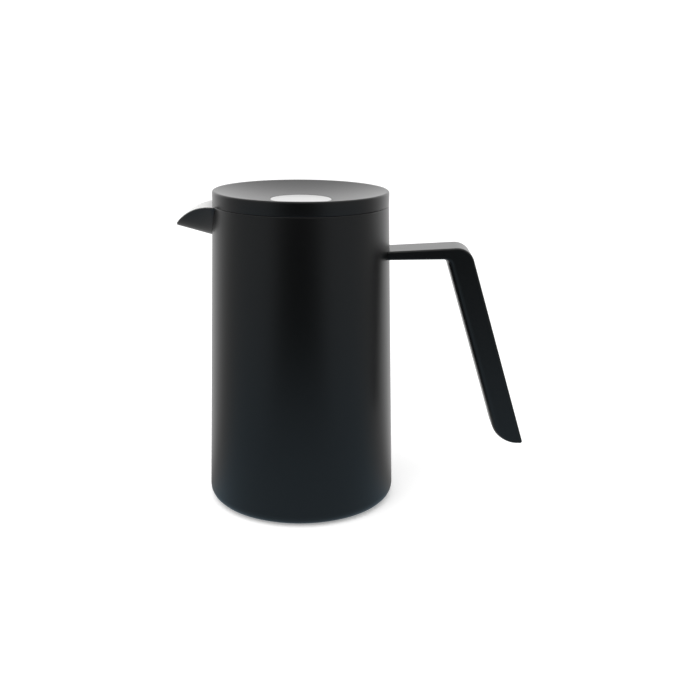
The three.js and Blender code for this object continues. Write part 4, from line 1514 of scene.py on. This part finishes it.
@dataclass
class Plunger:
    """The press disc with its steel button, backing and rod. Millimetres."""

    vessel: Vessel
    wall: float = 1.2
    edge: float = 1.0
    dish_depth: float = 6.1
    dish_inset: float = 1.5
    dish_steps: int = 24
    core_wall: float = 1.8
    gap: float = 0.3
    button_thick: float = 1.5
    button_boss: float = 4.5
    rod_seat: float = 2.8
    rod_seat_depth: float = 1.4
    hub_bore: float = 4.8
    lid_wall: float = 2.0
    pan_clearance: float = 1.2
    step_clearance: float = 0.4

    def dish(self, radius: float) -> float:
        """Height of the dished top at a radius."""
        disc = Span.of("press_disc")
        return disc.top - self.dish_depth * (1 - (radius / (disc.radius - self.dish_inset)) ** 2)

    def build_disc(self) -> bpy.types.Object:
        """The spun black disc: skirt, rounded edge, dish and the seat of the button.

        Returns:
            The disc.
        """
        disc, inlay = Span.of("press_disc"), Span.of("press_inlay")
        seat = inlay.radius + self.gap / 2
        rim = disc.radius - self.dish_inset
        radii = [seat + (rim - seat) * i / self.dish_steps for i in range(self.dish_steps + 1)]
        top = [(r, self.dish(r), 0.0) for r in radii]
        under = [(r, self.dish(r) - self.wall, 0.0) for r in reversed(radii) if seat + 3 < r < rim - 2]
        seat_z = inlay.top - self.button_thick - self.gap
        boss = self.hub_bore
        top[0] = (seat, self.dish(seat), 0.15)
        made = turned(
            "press_top",
            [
                (boss, seat_z, 0), (seat, seat_z, 0), *top, (disc.radius, disc.top, self.edge),
                (disc.radius, disc.bottom, 0.3), (disc.radius - self.wall, disc.bottom, 0.2),
                (disc.radius - self.wall, disc.top - 2 * self.wall, 1.0), *under,
                (seat + self.wall, self.dish(seat + self.wall) - self.wall, 0),
                (seat + self.wall, seat_z - self.wall, 0.3), (boss, seat_z - self.wall, 0),
            ],
            192,
        )
        return place(made, Body.PLUNGER, Slot.COAT, POWDER_COAT, ["press_disc"])

    def build_button(self) -> bpy.types.Object:
        """The flush steel button with the boss that takes the rod.

        Returns:
            The button.
        """
        span = Span.of("press_inlay")
        low = span.top - self.button_thick
        seat = low - self.rod_seat_depth
        bore, boss = self.rod_seat, self.button_boss
        made = turned(
            "press_button",
            [(0, span.top, 0), (span.radius, span.top, 0.35), (span.radius, low, 0.1), (boss, low, 0.2),
             (boss, span.bottom, 0.3), (bore, span.bottom, 0.2), (bore, seat, 0), (0, seat, 0)],
            160,
        )
        return place(made, Body.PLUNGER, Slot.STEEL, BUTTON_STEEL, ["press_inlay"])

    def build_backing(self) -> bpy.types.Object:
        """The moulded backing that closes the disc's underside.

        Returns:
            The backing.
        """
        core, inlay, insert = Span.of("press_core"), Span.of("press_inlay"), Span.of("lid_insert")
        pan = Span.of("lid_seal").radius - self.lid_wall - self.pan_clearance
        step = insert.top + self.step_clearance
        hub_top = inlay.top - self.button_thick - self.gap - self.wall - self.gap
        hub = inlay.radius + self.gap + self.wall + self.gap
        low, wall = core.bottom, self.core_wall
        made = turned(
            "press_backing",
            [
                (self.hub_bore, low, 0.2), (pan, low, 0.8), (pan, step, 0.3), (core.radius, step, 0.4),
                (core.radius, core.top, 0.4), (core.radius - wall, core.top, 0.3),
                (core.radius - wall, step + wall, 0.3), (pan - wall, step + wall, 0.4),
                (pan - wall, low + wall, 0.4), (hub + wall, low + wall, 0.2), (hub, hub_top, 0),
                (self.hub_bore, hub_top, 0),
            ],
        )
        return place(made, Body.PLUNGER, Slot.PLASTIC, LID_NYLON, ["press_core"])

    def build_rod(self) -> None:
        """The rod, the nut that clamps the button's boss and the collar over the filter."""
        rod, collar = Span.of("plunger_rod"), Span.of("rod_collar")
        place(
            turned("plunger_shaft", [
                (0, rod.bottom, 0), (rod.radius, rod.bottom, 0.6), (rod.radius, rod.top, 0.6),
                (0, rod.top, 0)], 64),
            Body.PLUNGER, Slot.STEEL, ROD_STEEL, ["plunger_rod"])
        place(
            nut("button_nut", Span.of("boss_nut"), self.hub_bore),
            Body.PLUNGER, Slot.STEEL, PLAIN_STEEL, ["boss_nut"])
        bore = rod.radius + self.gap
        waist = collar.radius - 1.4
        place(
            turned("shaft_collar", [
                (bore, collar.bottom, 0.1), (collar.radius, collar.bottom, 0.4),
                (collar.radius, collar.bottom + 1.8, 0.4),
                (waist, collar.bottom + 2.6, 0.6), (waist, collar.top, 0.5), (bore, collar.top, 0.2)], 96),
            Body.PLUNGER, Slot.STEEL, SPUN_STEEL, ["rod_collar"])


@dataclass
class Filter:
    """The filter stack: domed plate, coil, woven screen, ported plate and nut. Millimetres."""

    rod_radius: float = 2.5
    gap: float = 0.3
    coil_turns: int = 118
    coil_steps: int = 14
    wire_radius: float = 0.34
    screen_wires: int = 131
    screen_wire_radius: float = 0.11
    dome_flat: float = 12.0
    dome_port: float = 4.6

    def build(self, ports: Pattern, coil: Pattern, weave: Pattern) -> None:
        """All the pieces of the stack.

        Args:
            ports: drills holes on a circle.
            coil: winds the spring.
            weave: lays the screen's wires.
        """
        self.build_dome(ports)
        spring = Span.of("edge_spring")
        radius = (spring.top - spring.bottom) / 2
        place(
            coil.apply(
                self.blank("edge_coil"), Turns=self.coil_turns, Steps=self.coil_steps,
                Ring_Radius=(spring.radius - radius) * MM, Coil_Radius=(radius - self.wire_radius) * MM,
                Wire_Radius=self.wire_radius * MM, Height=(spring.bottom + radius) * MM,
                Material=ROD_STEEL.material()),
            Body.PLUNGER, Slot.STEEL, None, ["edge_spring"])
        self.build_screen(weave)
        self.build_cross(ports)
        bore = self.rod_radius + self.gap
        place(
            nut("hub_nut", Span.of("filter_nut"), bore),
            Body.PLUNGER, Slot.STEEL, PLAIN_STEEL, ["filter_nut"])

    @staticmethod
    def blank(name: str) -> bpy.types.Object:
        """An empty mesh object for a pattern to fill.

        Args:
            name: the piece's name.

        Returns:
            The object.
        """
        made = bpy.data.objects.new(name, bpy.data.meshes.new(name))
        bpy.context.scene.collection.objects.link(made)
        return made

    def build_dome(self, ports: Pattern) -> bpy.types.Object:
        """The domed plate with its ring of ports and its rolled edge.

        Args:
            ports: drills holes on a circle.

        Returns:
            The plate.
        """
        span = Span.of("spring_plate")
        bore, slope = self.rod_radius + self.gap, span.radius - 5
        low, top = span.bottom, span.top
        made = turned(
            "dome_plate",
            [
                (bore, top - 1, 0.1), (self.dome_flat, top - 1, 4), (slope, low, 2), (span.radius, low, 0.3),
                (span.radius, low + 1, 0.3), (slope, low + 1, 2), (self.dome_flat, top, 4), (bore, top, 0.1),
            ],
        )
        middle = (self.dome_flat + slope) / 2
        steel = SPUN_STEEL.material()
        for count, ring, port in ((6, middle, self.dome_port), (12, slope + 1.2, 1.4), (6, middle - 8, 1.6)):
            ports.apply(
                made, Count=count, Ring_Radius=ring * MM, Port_Radius=port * MM,
                Turn=0.0 if port > 2 else math.pi / count, Height=(low + 2) * MM, Depth=12 * MM,
                Material=steel)
        made.data.set_sharp_from_angle(angle=math.radians(35))
        return place(made, Body.PLUNGER, Slot.STEEL, None, ["spring_plate"])

    def build_screen(self, weave: Pattern) -> None:
        """The woven screen with a pressed steel hem round its edge and its middle.

        Args:
            weave: lays the wires.
        """
        span = Span.of("mesh_screen")
        middle = (span.bottom + span.top) / 2
        hem, eye = 1.6, 6.0
        bore = self.rod_radius + self.gap
        made = weave.apply(
            self.blank("woven_screen"), Count=self.screen_wires, Radius=(span.radius - hem / 2) * MM,
            Wire_Radius=self.screen_wire_radius * MM, Height=middle * MM, Material=PLAIN_STEEL.material())
        place(made, Body.PLUNGER, Slot.STEEL, None, ["mesh_screen"])
        for name, inner, outer in (("screen_hem", span.radius - hem, span.radius), ("screen_eye", bore, eye)):
            place(
                turned(name, [(inner, span.bottom, 0.15), (outer, span.bottom, 0.2), (outer, span.top, 0.2),
                              (inner, span.top, 0.15)]),
                Body.PLUNGER, Slot.STEEL, SPUN_STEEL, ["mesh_screen"])

    def build_cross(self, ports: Pattern) -> bpy.types.Object:
        """The flat ported plate under the screen, with a raised edge bead.

        Args:
            ports: drills holes on a circle.

        Returns:
            The plate.
        """
        span = Span.of("cross_plate")
        bore = self.rod_radius + self.gap
        low, top, edge = span.bottom, span.top, span.radius
        made = turned(
            "ported_plate", [(bore, low, 0.1), (edge, low, 0.4), (edge, top, 0.2), (bore, top, 0.1)])
        steel = SPUN_STEEL.material()
        for count, ring, port in ((8, 0.66, 5.0), (16, 0.88, 2.0), (8, 0.4, 2.4)):
            ports.apply(
                made, Count=count, Ring_Radius=ring * edge * MM, Port_Radius=port * MM,
                Turn=0.0 if port > 4 else math.pi / count, Height=(low + top) / 2 * MM, Depth=6 * MM,
                Material=steel)
        made.data.set_sharp_from_angle(angle=math.radians(35))
        return place(made, Body.PLUNGER, Slot.STEEL, None, ["cross_plate"])


# ------------------------------------------------------------------ studio


@dataclass
class Studio:
    """The pale floor, the soft light and the camera. Metres."""

    floor_size: float = 30.0
    eye: Vector = field(default_factory=lambda: Vector((0.03016, -0.6105, 0.2701)))
    pitch: float = math.radians(16.14)
    roll: float = 0.01082
    lens: float = 52.65
    floor_glow: float = 0.31
    side_glow: float = 0.4  # surround beside the press
    near_glow: float = 0.42  # table close to the press
    back_glow: float = 0.9  # table behind the press
    back_wall: float = 1.15  # surround low behind the press
    back_high: float = 0.16  # surround higher up behind it
    top_glow: float = 0.45  # surround overhead
    seen_white: float = 1.2  # surround as the camera sees it
    box_size: float = 2.0
    box_power: float = 20.0  # watts
    box_place: Vector = field(default_factory=lambda: Vector((-0.4, -0.9, 1.5)))
    gap_edge: float = 0.78  # cosine of the front gap's outer edge
    gap_core: float = 0.985  # cosine of its dark core
    near_reach: tuple[float, float] = (0.05, 0.75)  # metres over which the near table fades
    table_turn: tuple[float, float] = (-0.1, -0.95)  # cosines over which the table behind brightens
    wall_turn: tuple[float, float] = (0.0, -0.8)  # the same for the surround behind
    wall_rise: tuple[float, float] = (0.25, 0.6)  # slopes over which it darkens upward
    top_rise: tuple[float, float] = (0.3, 0.75)  # slopes over which the overhead light comes in
    tint_turn: tuple[float, float] = (-0.2, 0.4)  # cosines over which the cool tint comes in
    tint_reach: tuple[float, float] = (0.1, 0.8)  # metres over which the tint falls
    tint_far: float = 0.45  # what is left of it
    white: tuple[float, float, float, float] = (1.0, 1.0, 1.0, 1.0)
    cool: tuple[float, float, float, float] = (0.74, 0.98, 1.16, 1.0)

    def build_camera(self) -> None:
        """The camera, level with the eye of someone seated at the table."""
        data = bpy.data.cameras.new("view")
        data.lens = self.lens
        data.sensor_width = 36.0
        data.clip_start, data.clip_end = 0.01, 100.0
        camera = bpy.data.objects.new("view", data)
        camera.location = self.eye
        tilt = Euler((math.pi / 2 - self.pitch, 0, 0)).to_matrix().to_4x4()
        camera.rotation_euler = (tilt @ Matrix.Rotation(self.roll, 4, "Z")).to_euler()
        bpy.context.scene.collection.objects.link(camera)
        bpy.context.scene.camera = camera

    def plane(self, name: str, size: float, height: float) -> bpy.types.Object:
        """A square stage plane centred under the press.

        Args:
            name: its name.
            size: its side.
            height: its height.

        Returns:
            The plane.
        """
        bm = bmesh.new()
        bmesh.ops.create_grid(bm, x_segments=1, y_segments=1, size=size / 2)
        made = object_of(name, bm)
        made.data.transform(Matrix.Translation((0, 0, height)))
        return made

    def build_floor(self) -> None:
        """A white floor lit from below, and under it the sweep that the gloss of the press sees."""
        floor = self.plane("floor", self.floor_size, 0.0)
        floor.data.materials.append(self.floor_material())
        floor.visible_glossy = False
        sweep = self.plane("sweep", self.floor_size, -0.0005)
        sweep.data.materials.append(self.sweep_material())
        sweep.visible_camera = sweep.visible_diffuse = sweep.visible_shadow = False
        sweep.visible_transmission = False

    def floor_material(self) -> bpy.types.Material:
        """Matte white with a glow, as a lit shooting table has, so that shadows stay faint.

        Returns:
            The material.
        """
        material = bpy.data.materials.new("pale_floor")
        material.use_nodes = True
        material.node_tree.nodes.clear()
        g = Graph(material.node_tree)
        matte = g.add("ShaderNodeBsdfDiffuse", {"Color": (0.9, 0.9, 0.9, 1)})
        glow = g.add("ShaderNodeEmission", {"Strength": self.floor_glow})
        both = g.add("ShaderNodeAddShader", {0: matte.outputs[0], 1: glow.outputs[0]})
        g.add("ShaderNodeOutputMaterial", {"Surface": both.outputs[0]})
        return material

    def sweep_material(self) -> bpy.types.Material:
        """Glow that is even beside the press, bright behind it and fades to dark far in front.

        Returns:
            The material.
        """
        material = bpy.data.materials.new("sweep_glow")
        material.use_nodes = True
        material.node_tree.nodes.clear()
        g = Graph(material.node_tree)
        spot = g.add("ShaderNodeSeparateXYZ", {0: g.add("ShaderNodeTexCoord").outputs["Object"]})
        x, y = spot.outputs[:2]
        reach = g.math("SQRT", g.math("ADD", g.math("MULTIPLY", x, x), g.math("MULTIPLY", y, y)))
        ahead = g.math("DIVIDE", g.math("MULTIPLY", y, -1.0), reach)
        beside = g.fade(ahead, self.gap_edge, self.gap_core, self.side_glow, 0.0)
        near = g.fade(reach, *self.near_reach, self.near_glow, 0.0)
        behind = g.fade(ahead, *self.table_turn, 0.0, self.back_glow)
        level = g.math("ADD", g.math("MAXIMUM", beside, near), behind)
        share = g.math(
            "MULTIPLY", g.fade(ahead, *self.tint_turn, 0.0, 1.0), g.fade(reach, *self.tint_reach, 1.0, self.tint_far)
        )
        tint = g.add("ShaderNodeMix", {"Factor": share, 6: self.white, 7: self.cool}, data_type="RGBA")
        glow = g.add("ShaderNodeEmission", {"Color": tint.outputs[2], "Strength": level})
        g.add("ShaderNodeOutputMaterial", {"Surface": glow.outputs[0]})
        return material

    def build_world(self) -> None:
        """A white surround; what lights the press is bright above and behind, with a dark gap in front."""
        world = bpy.data.worlds.new("surround")
        bpy.context.scene.world = world
        world.use_nodes = True
        world.node_tree.nodes.clear()
        g = Graph(world.node_tree)
        way = g.add("ShaderNodeSeparateXYZ", {0: g.add("ShaderNodeTexCoord").outputs["Generated"]})
        ahead = g.math("MULTIPLY", way.outputs[1], -1.0)
        beside = g.fade(ahead, self.gap_edge, self.gap_core, self.side_glow, 0.0)
        low = g.fade(way.outputs[2], *self.wall_rise, self.back_wall, self.back_high)
        behind = g.fade(ahead, *self.wall_turn, 0.0, low)
        above = g.fade(way.outputs[2], *self.top_rise, 0.0, self.top_glow)
        level = g.math("ADD", g.math("ADD", beside, behind), above)
        seen = g.add("ShaderNodeLightPath").outputs["Is Camera Ray"]
        shown = {"Factor": seen, 2: level, 3: self.seen_white}
        strength = g.add("ShaderNodeMix", shown, data_type="FLOAT").outputs[0]
        light = g.add("ShaderNodeBackground", {"Color": (1, 1, 1, 1), "Strength": strength})
        g.add("ShaderNodeOutputWorld", {"Surface": light.outputs[0]})

    def build_lights(self) -> None:
        """One large softbox over the front left that fills the steel and gives the floor its faint shadow."""
        data = bpy.data.lights.new("softbox", "AREA")
        data.shape = "SQUARE"
        data.size = self.box_size
        data.energy = self.box_power
        lamp = bpy.data.objects.new("softbox", data)
        lamp.location = self.box_place
        lamp.rotation_euler = (lamp.location * -1).to_track_quat("-Z", "Y").to_euler()
        lamp.visible_glossy = False
        bpy.context.scene.collection.objects.link(lamp)

    def build(self) -> None:
        """Everything round the press, and a plain view transform."""
        self.build_camera()
        self.build_floor()
        self.build_world()
        self.build_lights()
        bpy.context.scene.view_settings.view_transform = "Standard"


# ------------------------------------------------------------------ assembly


def main() -> None:
    """Builds the studio and the press."""
    logging.basicConfig(level=logging.INFO, format="%(name)s: %(message)s")
    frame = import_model()
    Studio().build()
    vessel = Vessel()
    beak = Beak(vessel)
    vessel.build_shell(beak.channel())
    vessel.build_liner()
    vessel.build_foot()
    beak.build()
    Handle(vessel).build(frame)
    lid = Lid(vessel)
    lid.build_insert()
    lid.build_seal()
    lid.build_strainer(curved_ports())
    lid.build_fittings(frame)
    plunger = Plunger(vessel)
    steps: list[Callable[[], object]] = [
        plunger.build_disc, plunger.build_button, plunger.build_backing, plunger.build_rod,
    ]
    for step in steps:
        step()
    Filter().build(ring_ports(), coil_ring(), woven_disc())


if __name__ == "__main__":
    main()
